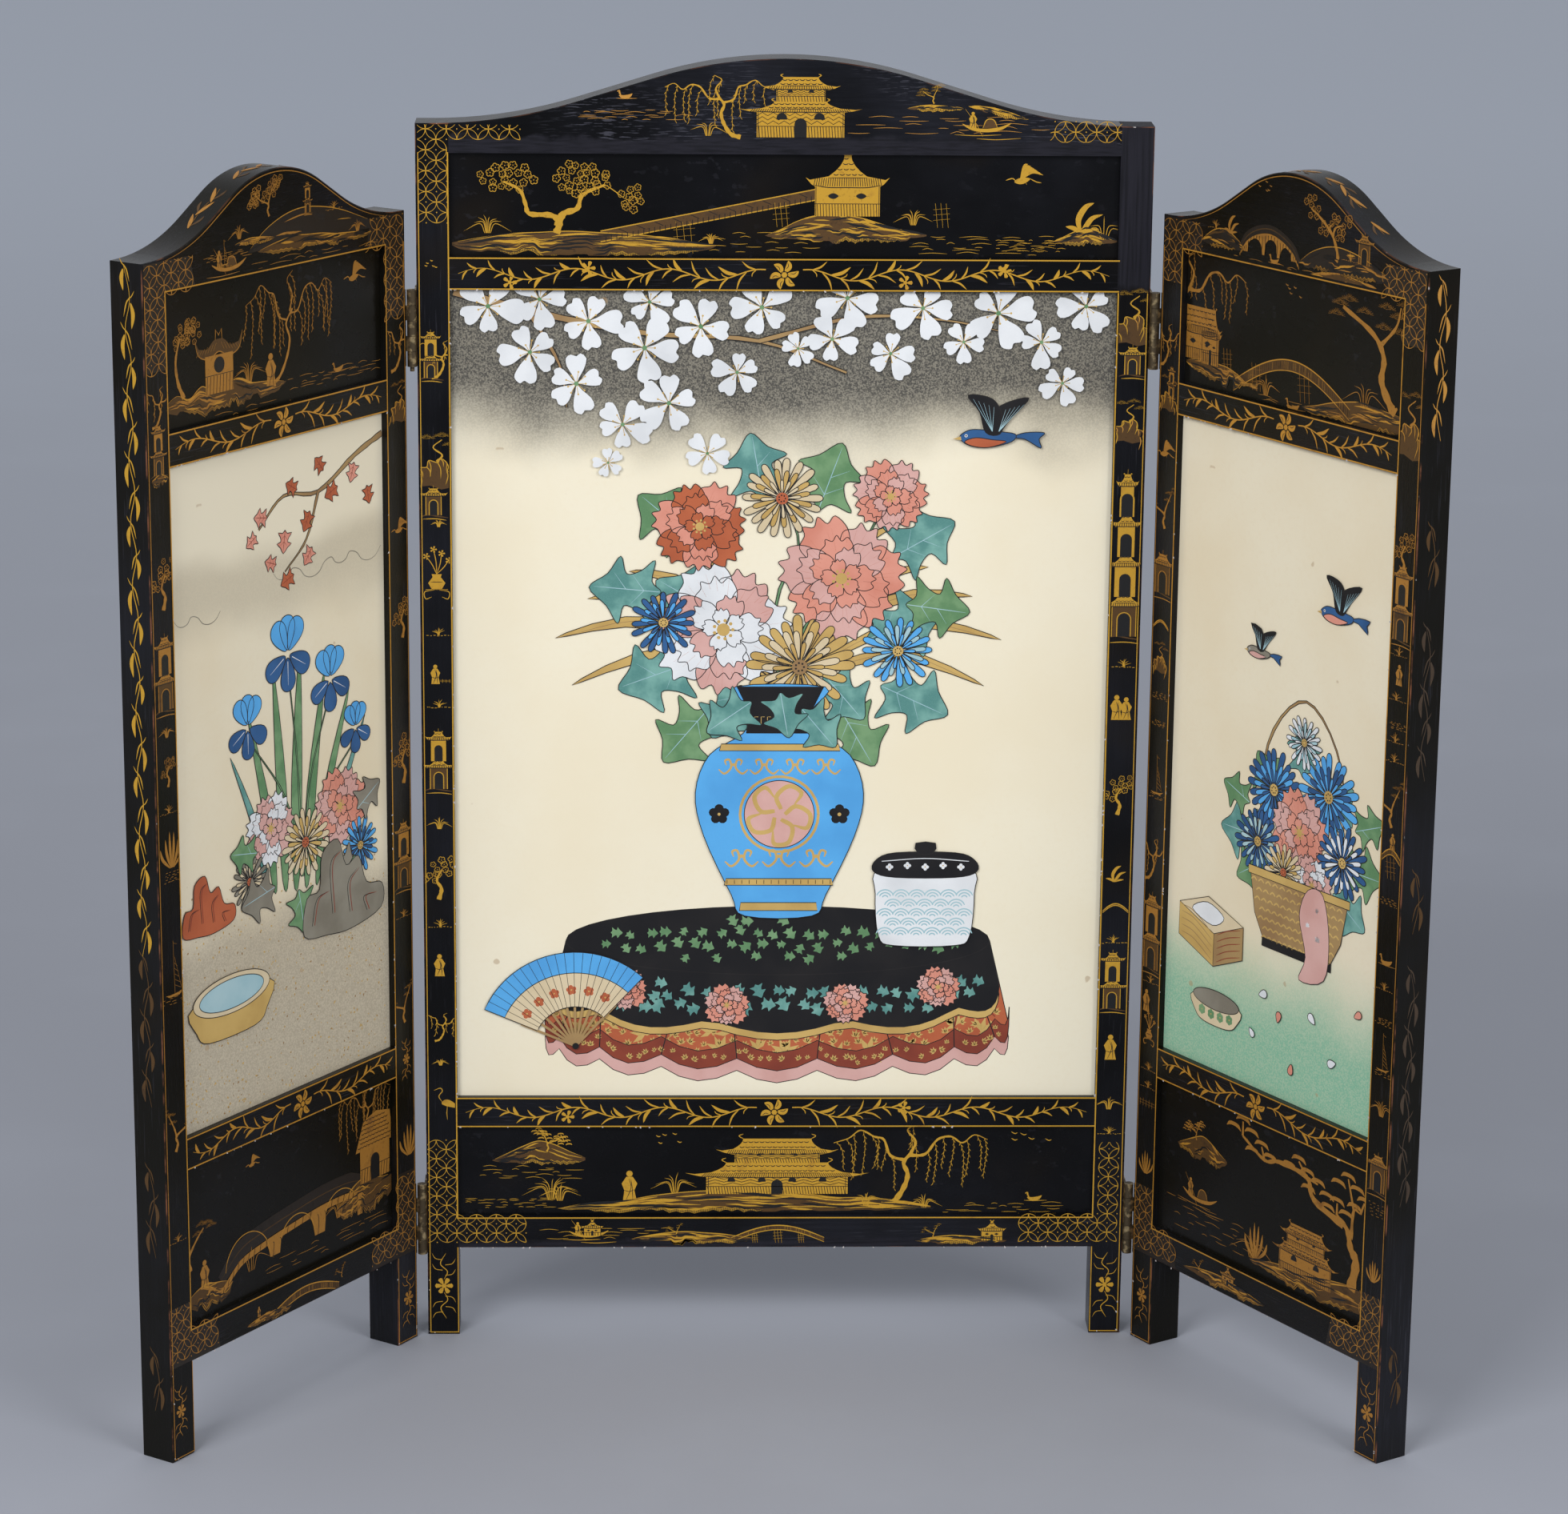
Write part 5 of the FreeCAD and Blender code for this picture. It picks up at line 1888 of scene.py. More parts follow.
left_frame_scene = (
    (land, 126 + 972j, 158, {"ridge_shares": hill_shares, "depth_share": 0.01, "streaks": 4,
                             "combs": 0, "ground": "umber"}),
    (low_shore, 110 + 980j, 50, {"combs": 4}),
    (low_shore, 138 + 971j, 112, {"combs": 6}),
    (low_shore, 208 + 968j, 74, {"combs": 4}),
    (spread_tree, 153 + 997j, 19, {"kind": "tufts", "head_share": 0.42}),
    (tall_gate, 201 + 994j, 8),
    (grass, 116 + 984j, 12),
    (sedge, 234 + 993j, low_tuft),
    (grass, 264 + 971j, 11),
    (boat, 82 + 963j, 42),
    (sail_boat, 97 + 966j, 20),
    (still_water, 64 + 976j, 60),
    (water, 130 + 963j, 140, {"height_share": 0.06, "rows": 3}),
    (small_willow, 16 + 852j, 30),
    (tall_gate, 14 + 815j, 13),
    (isle, 5 + 811j, 20, {"depth_share": 0.3}),
    (round_tree, 15 + 708j, 40),
    (tall_gate, 15 + 628j, 20),
    (grass, 15 + 606j, 10),
    (round_tree, 15 + 566j, 24),
    (sedge, 15 + 545j, low_tuft),
    (long_leaves, 17 + 500j, 32),
    (water, 6 + 497j, 18, {"height_share": 0.5}),
    (sail_boat, 15 + 394j, 46),
    (spread_tree, 13 + 264j, 26, {"mirrored": True}),
    (sedge, 13 + 188j, low_tuft),
    (spray, 11 + 42j, 44),
    (willow, 316 + 850j, 38, {"strands": 9}),
    (crag, 315 + 808j, 34),
    (crane, 306 + 716j, 20),
    (round_tree, 316 + 625j, 34),
    (round_tree, 315 + 500j, 42),
    (tall_gate, 314 + 410j, 19),
    (sedge, 313 + 384j, low_tuft),
    (spread_tree, 313 + 290j, 24),
    (spray, 314 + 257j, 36),
    (long_leaves, 316 + 170j, 30),
    (spray, 313 + 40j, 50),
    (bridge, 128 + 86j, 90, {"rise": 0.12}),
    (spread_tree, 222 + 89j, 8),
    (low_shore, 96 + 86j, 60),
    (figure, 112 + 90j, 9),
)

right_boards_scene = (
    (building, 46 + 866j, 44, {"storeys": corner_storeys, "door": False}),
    (building, 59 + 864j, 22, {"storeys": spire_storeys}),
    (land, 29 + 862j, 92, {"ridge_shares": (0.02, 0.05, 0.06, 0.05, 0.04, 0, -0.06, -0.1),
                           "depth_share": 0.14, "streaks": 26}),
    (willow, 24 + 872j, 78, {"strands": 17, "fall": 0.45}),
    (trestle, 81 + 862j, 19),
    (bridge, 90 + 857j, 144, {"rise": 0.19, "thick": 0.06}),
    (trestle, 118 + 853j, 22),
    (trestle, 178 + 853j, 25),
    (grass, 131 + 851j, 18),
    (flock, 150 + 938j, 22),
    (duck, 156 + 846j, 17),
    (land, 176 + 850j, 123, {"ridge_shares": (0, 0.03, 0.07, 0.1, 0.12, 0.11, 0.1, 0.09),
                             "depth_share": 0.06, "streaks": 26}),
    (grass, 251 + 862j, 23, {"blades": 6}),
    (tree, 288 + 863j, 74, {"limbs": bent_pine_limbs, "heads": bent_pine_heads,
                            "head_share": 0.14}),
    (still_water, 120 + 852j, 100),
    (isle, 51 + 193j, 66, {"depth_share": 0.16}),
    (spread_tree, 76 + 202j, 12, {"kind": "pads", "head_share": 0.2}),
    (boat, 60 + 150j, 46),
    (water, 36 + 146j, 110, {"height_share": 0.26, "rows": 6}),
    (land, 150 + 120j, 148, {"ridge_shares": (0, 0.03, 0.05, 0.06, 0.07, 0.1, 0.12, 0.12),
                             "depth_share": 0.06, "streaks": 30}),
    (long_leaves, 158 + 122j, 34),
    (grass, 154 + 121j, 26, {"blades": 9}),
    (building, 222 + 124j, 66, {"storeys": moon_storeys, "kind": "moon", "door": False}),
    (tree, 280 + 135j, 104, {"limbs": cloud_pine_limbs, "heads": cloud_pine_heads,
                            "kind": "pads", "head_share": 0.088}),
)

right_frame_scene = (
    (land, 50 + 965j, 54, {"ridge_shares": (0.02, 0.16, 0.24, 0.24, 0.16, 0.04), "ground": "umber",
                           "depth_share": 0.05}),
    (sedge, 68 + 978j, low_tuft),
    (broad_leaves, 86 + 976j, 15),
    (stone_bridge, 99 + 966j, 74, {"deck": (0, 0.12 + 0.15j, 0.3 + 0.24j, 0.5 + 0.27j,
                                            0.7 + 0.22j, 0.88 + 0.12j, 1 - 0.02j),
                                   "openings": ((0.25 + 0.02j, 0.12), (0.52 + 0.06j, 0.1),
                                                (0.77 + 0.02j, 0.09))}),
    (land, 172 + 965j, 108, {"ridge_shares": hill_shares, "ground": "umber", "depth_share": 0.05,
                             "combs": 4}),
    (low_shore, 186 + 958j, 80, {"combs": 5}),
    (tree, 217 + 972j, 52, {"limbs": cliff_tree_limbs, "heads": cliff_tree_heads,
                            "kind": "tufts", "head_share": 0.15}),
    (sedge, 234 + 975j, low_tuft),
    (gate, 250 + 974j, 15),
    (duck, 136 + 961j, 12),
    (flock, 118 + 1018j, 20),
    (water, 70 + 960j, 110, {"height_share": 0.08, "rows": 4}),
    (small_willow, 10 + 856j, 34),
    (crag, 13 + 820j, 30),
    (tall_gate, 17 + 832j, 8),
    (crane, 3 + 782j, 22),
    (spread_tree, 14 + 720j, 24),
    (gate, 13 + 665j, 22),
    (figure, 13 + 665j, 17, {"finish": "bronze"}),
    (bridge, 3 + 636j, 20, {"rise": 0.3}),
    (crag, 13 + 598j, 26),
    (water, 4 + 580j, 20),
    (water, 4 + 556j, 18),
    (sail_boat, 13 + 492j, 34),
    (willow, 12 + 416j, 36, {"strands": 8}),
    (tall_gate, 13 + 338j, 22),
    (sedge, 14 + 326j, low_tuft),
    (figure, 9 + 299j, 20),
    (vase, 14 + 270j, 28),
    (sedge, 15 + 248j, low_tuft),
    (sedge, 15 + 232j, low_tuft),
    (fence, 5 + 214j, 20),
    (long_leaves, 15 + 154j, 22),
    (spray, 15 + 42j, 50),
    (crag, 311 + 834j, 52),
    (round_tree, 310 + 740j, 34),
    (tall_gate, 311 + 688j, 20),
    (sedge, 311 + 676j, low_tuft),
    (figure, 312 + 652j, 17),
    (sedge, 310 + 640j, low_tuft),
    (water, 301 + 622j, 20),
    (sedge, 311 + 606j, low_tuft),
    (sedge, 311 + 590j, low_tuft),
    (spread_tree, 311 + 536j, 26),
    (bridge, 301 + 512j, 22, {"rise": 0.3, "thick": 0.2}),
    (figure, 313 + 518j, 14),
    (trestle, 312 + 494j, 18),
    (water, 301 + 478j, 20),
    (duck, 304 + 424j, 15),
    (sedge, 311 + 402j, low_tuft),
    (water, 301 + 378j, 20),
    (sail_boat, 312 + 334j, 32),
    (grass, 314 + 296j, 16),
    (gate, 313 + 232j, 20),
    (water, 303 + 222j, 20, {"height_share": 0.6}),
    (long_leaves, 313 + 154j, 20),
    (spray, 313 + 40j, 56),
    (spread_tree, 92 + 89j, 8),
    (low_shore, 70 + 88j, 110),
    (hut, 130 + 90j, 16),
)


def rule(drawing, start, end, finish, width=border_line):
    """A straight painted line."""
    way = (end - start) / abs(end - start) * width / 2
    Pen(drawing, 0j, 1.0, finish=finish).bar([start - way, end + way], width)


def rule_leaf(drawing, layout, plain_crest, finish):
    """Gilt lines beside the openings and down the stiles. They stop where a crest is plain."""
    inset = edge_inset / 2
    left, right = stile_width - inset, layout.width - stile_width + inset
    bottom, top = layout.picture
    shelf = leg_height + bottom_rail_height
    highest = layout.crest_underside if not plain_crest else top - inset
    levels = [shelf - inset, bottom - rail_height + inset, bottom - inset, top + inset,
              top + rail_height - inset]
    if not plain_crest:
        levels.append(layout.crest_underside + inset)
    for y in levels:
        rule(drawing, complex(left, y), complex(right, y), finish)
    rule(drawing, complex(left, levels[0]), complex(left, layout.crest_underside), finish)
    rule(drawing, complex(right, levels[0]), complex(right, highest), finish)
    outer = finish if plain_crest else "amber"
    for x, end in ((outer_line, layout.crest_underside), (layout.width - outer_line, highest)):
        rule(drawing, complex(x, outer_line), complex(x, end), outer, fine_line)
    for x, far in ((outer_line, left), (layout.width - outer_line, right)):
        rule(drawing, complex(far, outer_line), complex(far, leg_height), outer, fine_line)
        rule(drawing, complex(x, outer_line), complex(far, outer_line), outer, fine_line)


edge_inset = 1.6
outer_line = 2.2
chip_spacing = 26.0
chip_size = 2.6


@dataclass
class Layout:
    """What one leaf's face carries: its width, openings, rail scrolls, lattices and scenes."""
    width: float
    picture: tuple
    crest_underside: float
    frame_scene: tuple
    boards_scene: tuple
    scrolls: tuple
    lattices: tuple


lattice_arm = 25.0
lattice_height = 27.0
lattice_slant = 6.0


def corner_lattice(left, right, low, high):
    """An L of lattice with its corner at left and low, which may be the greater ones."""
    across = 1 if right > left else -1
    upward = 1 if high > low else -1
    corner = complex(left, low)
    side, shelf = left + across * lattice_arm, low + upward * lattice_height
    outline = [corner, complex(right, low), complex(right - across * lattice_slant, shelf),
               complex(side, shelf), complex(side, high), complex(left, high)]
    bounds = (min(left, right), max(left, right), min(low, high), max(low, high))
    return outline, bounds


layouts = {
    "centre": Layout(
        centre_width, centre_picture, centre_crest_underside, centre_frame_scene,
        centre_boards_scene,
        ((34, 566, 927.5, 300, ((76, -7), (140, 5), (399, -6), (480, 4))),
         (34, 566, 203.5, 298, ((121, -4), (409, 4)))),
        (([1 + 965j, 26 + 965j, 26 + 1038j, 90 + 1038j, 80 + 1058j, 1 + 1050j], (2, 88, 960, 1049)),
         ([574 + 1038j, 599 + 1038j, 599 + 1050j, 519 + 1058j, 510 + 1038j], (515, 573, 1037, 1056)),
         corner_lattice(1, 90, 81, 180),
         corner_lattice(599, 508, 81, 176))),
    "left_wing": Layout(
        wing_width, wing_picture, wing_crest_underside, left_frame_scene, left_boards_scene,
        ((34, 292, 831.5, 166, ()), (34, 292, 257.5, 174, ())),
        (([1 + 895j, 26 + 895j, 26 + 956j, 62 + 956j, 56 + 984j, 1 + 980j], (2, 62, 890, 979)),
         ([300 + 895j, 325 + 895j, 325 + 980j, 280 + 984j, 276 + 956j, 300 + 956j],
          (274, 324, 890, 979)),
         corner_lattice(1, 62, 81, 132),
         corner_lattice(325, 262, 81, 156))),
    "right_wing": Layout(
        wing_width, wing_picture, wing_crest_underside, right_frame_scene, right_boards_scene,
        ((34, 292, 831.5, 164, ()), (34, 292, 257.5, 158, ())),
        (([1 + 926j, 26 + 926j, 26 + 956j, 52 + 956j, 48 + 984j, 1 + 980j], (2, 52, 920, 979)),
         ([300 + 920j, 325 + 920j, 325 + 980j, 276 + 990j, 276 + 956j, 300 + 956j],
          (272, 324, 915, 979)),
         corner_lattice(1, 60, 81, 142),
         corner_lattice(325, 258, 81, 142))),
}
centre_streaks = "gold", "gold", "gold", "ink", "ink"
wing_streaks = "amber", "ink", "umber", "bronze", "gold"


def zone(layout, place):
    """The part of the frame that a motif at this place belongs to, as left, right, low, high."""
    free = stile_width - edge_inset - border_line / 2
    bottom_rail_top = leg_height + bottom_rail_height
    highest = layout.crest_underside + layout.width
    if place.real < stile_width:
        return edge_inset, free, edge_inset, highest
    if place.real > layout.width - stile_width:
        return layout.width - free, layout.width - edge_inset, edge_inset, highest
    if place.imag < bottom_rail_top:
        return free, layout.width - free, leg_height + edge_inset, bottom_rail_top - edge_inset
    return free, layout.width - free, layout.crest_underside + 2 * edge_inset, highest


def opening(layout, place):
    """The opening that a motif on the boards belongs to."""
    side = stile_width + edge_inset / 2
    if place.imag < layout.picture[0]:
        low, high = leg_height + bottom_rail_height, layout.picture[0] - rail_height
    else:
        low, high = layout.picture[1] + rail_height, layout.crest_underside
    return side, layout.width - side, low + edge_inset / 2, high - edge_inset / 2


crest_margin = 1.0


def crest_line(body, layout):
    """The top edge of a crest rail's front, from the leaf's left to its right."""
    face = faces[body]
    highest = {}
    for vertex in frame["nodes"][body + "_crest_rail"].data.vertices:
        reach = (vertex.co - face.corner) / mm
        if abs(reach.dot(face.out)) < flat_depth and reach.z > layout.crest_underside + crest_margin:
            x = round(reach.dot(face.along), 1)
            highest[x] = max(highest.get(x, 0), reach.z)
    return [complex(x, z) for x, z in sorted(highest.items())]


@dataclass
class CrestTop:
    """The curved top of a crest rail: x runs along the leaf and y from its front to its back."""
    face: Face
    line: list
    body: str

    def place(self, point, height=0.0):
        a, b = self.line[0], self.line[-1]
        for low, high in zip(self.line, self.line[1:]):
            if low.real <= point.real:
                a, b = low, high
        level = a.imag + (b - a).imag * (point.real - a.real) / ((b - a).real or 1)
        spot = self.face.place(complex(point.real, level + arris_chamfer + crest_clearance + height))
        return spot - self.face.out * point.imag * mm


def lay_cut(drawing, scene, find_bounds, colours, finish):
    """Lays out a scene, each motif cut to the part of the leaf that it belongs to."""
    groups = {}
    for entry in scene:
        groups.setdefault(find_bounds(entry[1]), []).append(entry)
    for bounds, entries in groups.items():
        part = Drawing(None, drawing.heights, drawing.streaks)
        lay(part, entries, finish)
        grow(part, colours)
        drawing.add_cut(part, bounds)


def chip_edges(drawing, layout):
    """Small chips of bare ground along the inner arrises, the feet and the bottom rail."""
    chance = random.Random(round(layout.width))
    left, right = stile_width, layout.width - stile_width
    low, high = layout.picture
    edges = ((complex(left, low), complex(left, high)), (complex(right, low), complex(right, high)),
             (complex(left, low - rail_height), complex(right, low - rail_height)),
             (complex(left, leg_height), complex(right, leg_height)),
             (complex(left, high), complex(right, high)), (complex(0, 0), complex(0, leg_height)),
             (complex(layout.width, 0), complex(layout.width, leg_height)),
             (complex(0, 0), complex(left, 0)), (complex(right, 0), complex(layout.width, 0)))
    for start, end in edges:
        for _ in range(round(abs(end - start) / chip_spacing)):
            spot = start + (end - start) * chance.random() ** 1.5
            size = chip_size * chance.uniform(0.4, 1.3)
            spot = complex(min(max(spot.real, size), layout.width - size), max(spot.imag, size))
            drawing.copy("grain", spot, size, chance.uniform(0, 360), "chalk")


def gild_leaf(body, layout):
    # The wings take the darker copies of the finishes, which carry painted shade
    colours = finishes if body == "centre" else wing_shaded_finishes
    streaks = centre_streaks if body == "centre" else wing_streaks
    paint = "gold" if body == "centre" else "amber"
    frame_side = Drawing(faces[body], streaks=streaks)
    lay_cut(frame_side, layout.frame_scene, lambda place: zone(layout, complex(place)), colours,
            paint)
    for left, right, y, flower_at, blossoms in layout.scrolls:
        rail_scroll(frame_side, left, right, y, flower_at, blossoms, scroll_swing)
    grow(frame_side, colours)
    rule_leaf(frame_side, layout, body == "centre", "gold")
    for outline, bounds in layout.lattices:
        if body == "centre":
            lattice(frame_side, outline, bounds, colours, "gold")
        else:
            lattice(frame_side, outline, bounds, colours, "amber", "umber")
    chip_edges(frame_side, layout)
    grow(frame_side, colours)
    ridge = crest_line(body, layout)
    if body != "centre":
        Pen(frame_side, -1j * outer_line, 1, finish="amber").line(
            ridge, fine_line, ends=(0.3, 0.3), flowing=False)
        top_side = Drawing(CrestTop(faces[body], ridge, body))
        crest_vine(top_side, layout.width)
        grow(top_side, colours)
        top_side.build(body + "_crest_gilding", colours)
    frame_side.build(body + "_frame_gilding", colours)
    board_side = Drawing(boards[body], streaks=streaks)
    lay_cut(board_side, layout.boards_scene, lambda place: opening(layout, complex(place)), colours,
            paint)
    board_side.build(body + "_board_gilding", colours)


for body, layout in layouts.items():
    gild_leaf(body, layout)

# Vines down the wings' outer edges: side, place across the edge, and the heights between which
# each stretch is still bright or has worn away
edge_vines = {
    "left_wing": (-1, 17.0, ((978, 428, "gold"), (428, 300, "bronze"), (250, 176, "bronze"),
                             (92, 40, "bronze"))),
    "right_wing": (1, 16.0, ((972, 847, "amber"), (780, 728, "bronze"), (700, 575, "umber"),
                             (500, 450, "bronze"), (420, 220, "umber"), (96, 44, "bronze"))),
}
for body, (side, across, stretches) in edge_vines.items():
    edge_side = Drawing(faces[body].outer_edge(side))
    for top, bottom, finish in stretches:
        hanging_vine(edge_side, across, top, bottom, finish)
    edge_side.build(body + "_edge_gilding", finishes)

# Painted pictures: flat colours with ink outlines. Places and sizes are millimetres on the leaf.

gravel_count = 620
small_shape = 26
outline_width = 0.7
detail_width = 0.5


def pigment(name, colour, second, patch_scale=22.0):
    """Opaque water paint, slightly uneven."""
    material, tree, shader = new_material(name)
    place = object_place(tree)
    wash = above(tree, noise(tree, place, patch_scale, 4.0), 0.35, 0.7)
    fibre = times(tree, above(tree, noise(tree, place, 900.0, 2.0), 0.4, 0.8), 0.25)
    paint = blend(tree, sums(tree, "MAXIMUM", wash, fibre), rgb(*colour), rgb(*second))
    dress(tree, shader, Base_Color=paint, Roughness=0.62, Specular_IOR_Level=0.25,
          Normal=bump(tree, noise(tree, place, 500.0, 3.0), 0.03 * mm))
    return material


pigment_table = {
    "white": ((0.80, 0.82, 0.84), (0.68, 0.70, 0.72)),
    "cream": ((0.72, 0.60, 0.40), (0.64, 0.52, 0.33)),
    "ochre": ((0.62, 0.42, 0.14), (0.50, 0.32, 0.10)),
    "tan": ((0.40, 0.26, 0.11), (0.30, 0.18, 0.08)),
    "rust": ((0.50, 0.13, 0.055), (0.40, 0.095, 0.04)),
    "brick": ((0.27, 0.055, 0.03), (0.20, 0.04, 0.025)),
    "coral": ((0.74, 0.32, 0.24), (0.64, 0.24, 0.17)),
    "rose": ((0.70, 0.42, 0.38), (0.62, 0.34, 0.30)),
    "sky": ((0.105, 0.42, 0.82), (0.085, 0.35, 0.72)),
    "deep_blue": ((0.035, 0.12, 0.30), (0.022, 0.08, 0.21)),
    "mist_blue": ((0.32, 0.52, 0.58), (0.42, 0.60, 0.64)),
    "teal": ((0.09, 0.25, 0.23), (0.20, 0.42, 0.37), 60.0),
    "moss": ((0.11, 0.24, 0.11), (0.19, 0.34, 0.17), 60.0),
    "stone": ((0.20, 0.18, 0.14), (0.28, 0.26, 0.21)),
    "grey": ((0.13, 0.13, 0.12), (0.22, 0.22, 0.19)),
    "black": ((0.008, 0.008, 0.010), (0.014, 0.013, 0.014)),
    "ink": ((0.012, 0.011, 0.012), (0.022, 0.020, 0.020)),
}
pigments = {name: pigment(name + "_paint", *row) for name, row in pigment_table.items()}


def shape(pen, outline, finish, flowing=True, ink="ink"):
    """A flat colour inside an ink outline."""
    points = [complex(p) for p in outline]
    if flowing:
        reach = pen.size * max(abs(p - points[0]) for p in points)
        points = closed(points, 2 if reach < small_shape else 4)
    pen.fill(points, finish)
    if ink != finish:
        draw_round(pen, points, ink)


def draw_round(pen, points, ink="ink"):
    pen.line([*points, points[0]], outline_width, ink, (0.8, 0.8), False)


def rise(pen):
    """Starts a new level, which covers everything before it."""
    pen.drawing.level += 1


def layer(pen, outline, finish, flowing=True):
    """An outlined colour on a new level."""
    rise(pen)
    shape(pen, outline, finish, flowing)


def oval(middle, half_width, half_height, steps=24):
    return [middle + complex(half_width * math.cos(math.tau * step / steps),
                             half_height * math.sin(math.tau * step / steps))
            for step in range(steps)]


def turned(points, angle, size=1.0, place=0j):
    way = polar(size, angle)
    return [place + complex(p) * way for p in points]


def sprinkle(pen, outline, motif, finish, size, gap):
    """Copies of a motif all over an outline, each turned its own way."""
    outline = [pen.at(p) for p in outline]
    left, right = min(p.real for p in outline), max(p.real for p in outline)
    low, high = min(p.imag for p in outline), max(p.imag for p in outline)
    row = 0
    y = low
    while y < high:
        x = left + gap * (0.5 if row % 2 else 0.0)
        while x < right:
            spot = complex(x + pen.vary(-0.2, 0.2) * gap, y + pen.vary(-0.2, 0.2) * gap)
            if all(inside(spot + reach, outline) for reach in (-size, size, 1j * size, -1j * size)):
                angle = pen.vary(-70, 70)
                pen.drawing.copy(motif, spot, size * pen.vary(0.8, 1.15), angle, finish)
            x += gap
        y += gap * 0.8
        row += 1


def ring(pen, shares, count, size, start, finishes, ink="ink", stray=1.0):
    """Petals round the flower's middle, on a level of their own."""
    rise(pen)
    for number in range(count):
        angle = start + 360 * number / count + stray * pen.vary(-4, 4)
        length = size * (1 + stray * pen.vary(-0.08, 0.06))
        shape(pen, turned(shares, angle, length), finishes[number % len(finishes)], True, ink)


def peony(pen, finishes):
    """A full-blown flower with ragged petals. The size is its radius."""
    ring(pen, ragged_shares, 7, 1.0, 10, finishes)
    ring(pen, ragged_shares, 6, 0.76, 40, finishes[::-1])
    ring(pen, ragged_shares, 5, 0.54, 0, finishes)
    for number in range(40):
        angle = 9 * number + pen.vary(-3, 3)
        near, far = pen.vary(0.36, 0.7), pen.vary(0.74, 0.92)
        pen.line(turned([near, far], angle), detail_width, "rust", (0.3, 0.1))
    ring(pen, ragged_shares, 5, 0.32, 30, (finishes[0],))
    rise(pen)
    pen.disc(0, 0.1, "ochre")
    for number in range(9):
        pen.disc(polar(0.14, 40 * number), 0.028, "ochre", sides=6)


def aster(pen, finishes, count=20, heart="tan"):
    """A flower of many slim petals. The size is its radius."""
    for fewer, reach, start, number in ((0, 1.0, 0, 0), (3, 0.74, 8, 1), (6, 0.5, 3, 0)):
        ring(pen, slim_shares, count - fewer, reach, start, (finishes[number],))
    rise(pen)
    pen.disc(0, 0.15, heart)
    for number in range(7):
        pen.disc(polar(0.08, 51 * number), 0.022, "ink", sides=6)


def white_blossom(pen):
    """A flat white blossom of notched petals, with a few stamens. The size is its radius."""
    ring(pen, notched_shares, 5, 1.0, pen.vary(0, 72), ("white",), "white", 2.6)
    rise(pen)
    for number in range(9):
        tip = polar(pen.vary(0.28, 0.42), 40 * number)
        pen.line([tip * 0.2, tip], detail_width, "ochre", (1, 1))
        pen.disc(tip, 0.035, "ochre", sides=6)
    pen.disc(0, 0.08, "moss", sides=8)


def painted_leaf(pen, finish, vein="mist_blue"):
    """A leaf that points to the right before it is turned. The size is its length."""
    layer(pen, lobed_shares, finish)
    pen.line([0.02, 0.5, 0.94], detail_width * 1.2, vein, (1, 0.2))
    for step in (0.3, 0.55):
        for side in (-1, 1):
            pen.line([step - 0.06, step + 0.12 + 0.22j * side], detail_width, vein, (1, 0.2))


def twig(pen, points, width, finish):
    """A branch, painted to taper, with an ink line under it."""
    line = smooth([pen.at(complex(p)) for p in points])
    last = len(line) - 1
    widths = [width * pen.size * (1 - 0.7 * step / last) * (1 + 0.15 * math.sin(step * 2.3))
              for step in range(last + 1)]
    pen.drawing.ribbon(line, [w + outline_width for w in widths], "ink")
    rise(pen)
    pen.drawing.ribbon(line, [max(0.3, w - outline_width) for w in widths], finish)


def small_bird(pen, body_finish, breast):
    """A small bird in flight to the left. The size is its length."""
    layer(pen, [0.55 + 0.02j, 0.78 + 0.3j, 1.05 + 0.62j, 0.62 + 0.5j, 0.42 + 0.2j], "black")
    shape(pen, [0.8, 1.0 - 0.02j, 1.25 - 0.16j, 1.22 - 0.02j, 1.3 + 0.08j, 1.0 + 0.08j], "deep_blue")
    layer(pen, [0.0, 0.1 + 0.1j, 0.25 + 0.13j, 0.55 + 0.1j, 0.85 + 0.06j, 0.8 - 0.06j,
                0.45 - 0.15j, 0.15 - 0.12j], body_finish)
    layer(pen, [0.08 - 0.06j, 0.25, 0.5 - 0.03j, 0.72 - 0.06j, 0.45 - 0.15j, 0.2 - 0.13j], breast)
    shape(pen, [0.4 + 0.08j, 0.3 + 0.4j, 0.12 + 0.66j, 0.5 + 0.6j, 0.66 + 0.3j, 0.62 + 0.06j],
          "black")
    rise(pen)
    for step in range(5):
        tip = complex(0.2 + 0.08 * step, 0.6 - 0.03 * step)
        pen.line([0.5 + 0.1j, tip], detail_width, "mist_blue", (1, 0.3))
        pen.line([0.6 + 0.1j, complex(0.7 + 0.07 * step, 0.44 + 0.02 * step)], detail_width,
                 "mist_blue", (1, 0.3))
    pen.fill([-0.1 - 0.02j, 0.02 + 0.02j, 0.03 - 0.04j], "ochre")
    pen.disc(0.1 + 0.03j, 0.025, "white", sides=8)
    pen.disc(0.1 + 0.03j, 0.014, "ink", sides=8)


def scroll_band(pen, left, right, y, height):
    """Curled gilt scrolls side by side along a band."""
    count = max(1, round((right - left) / (1.6 * height)))
    for step in range(count):
        x = left + (right - left) * (step + 0.5) / count
        for side in (-1, 1):
            curl = [complex(x + side * h * height, y + v * height) for h, v in
                    ((0.75, -0.2), (0.45, -0.42), (0.12, -0.1), (0.2, 0.3), (0.42, 0.26),
                     (0.36, 0.02))]
            pen.line(curl, 0.11 * height * pen.size, "ochre", (0.5, 0.4))
        pen.disc(complex(x, y + 0.05 * height), 0.09 * height, "ochre", sides=8)


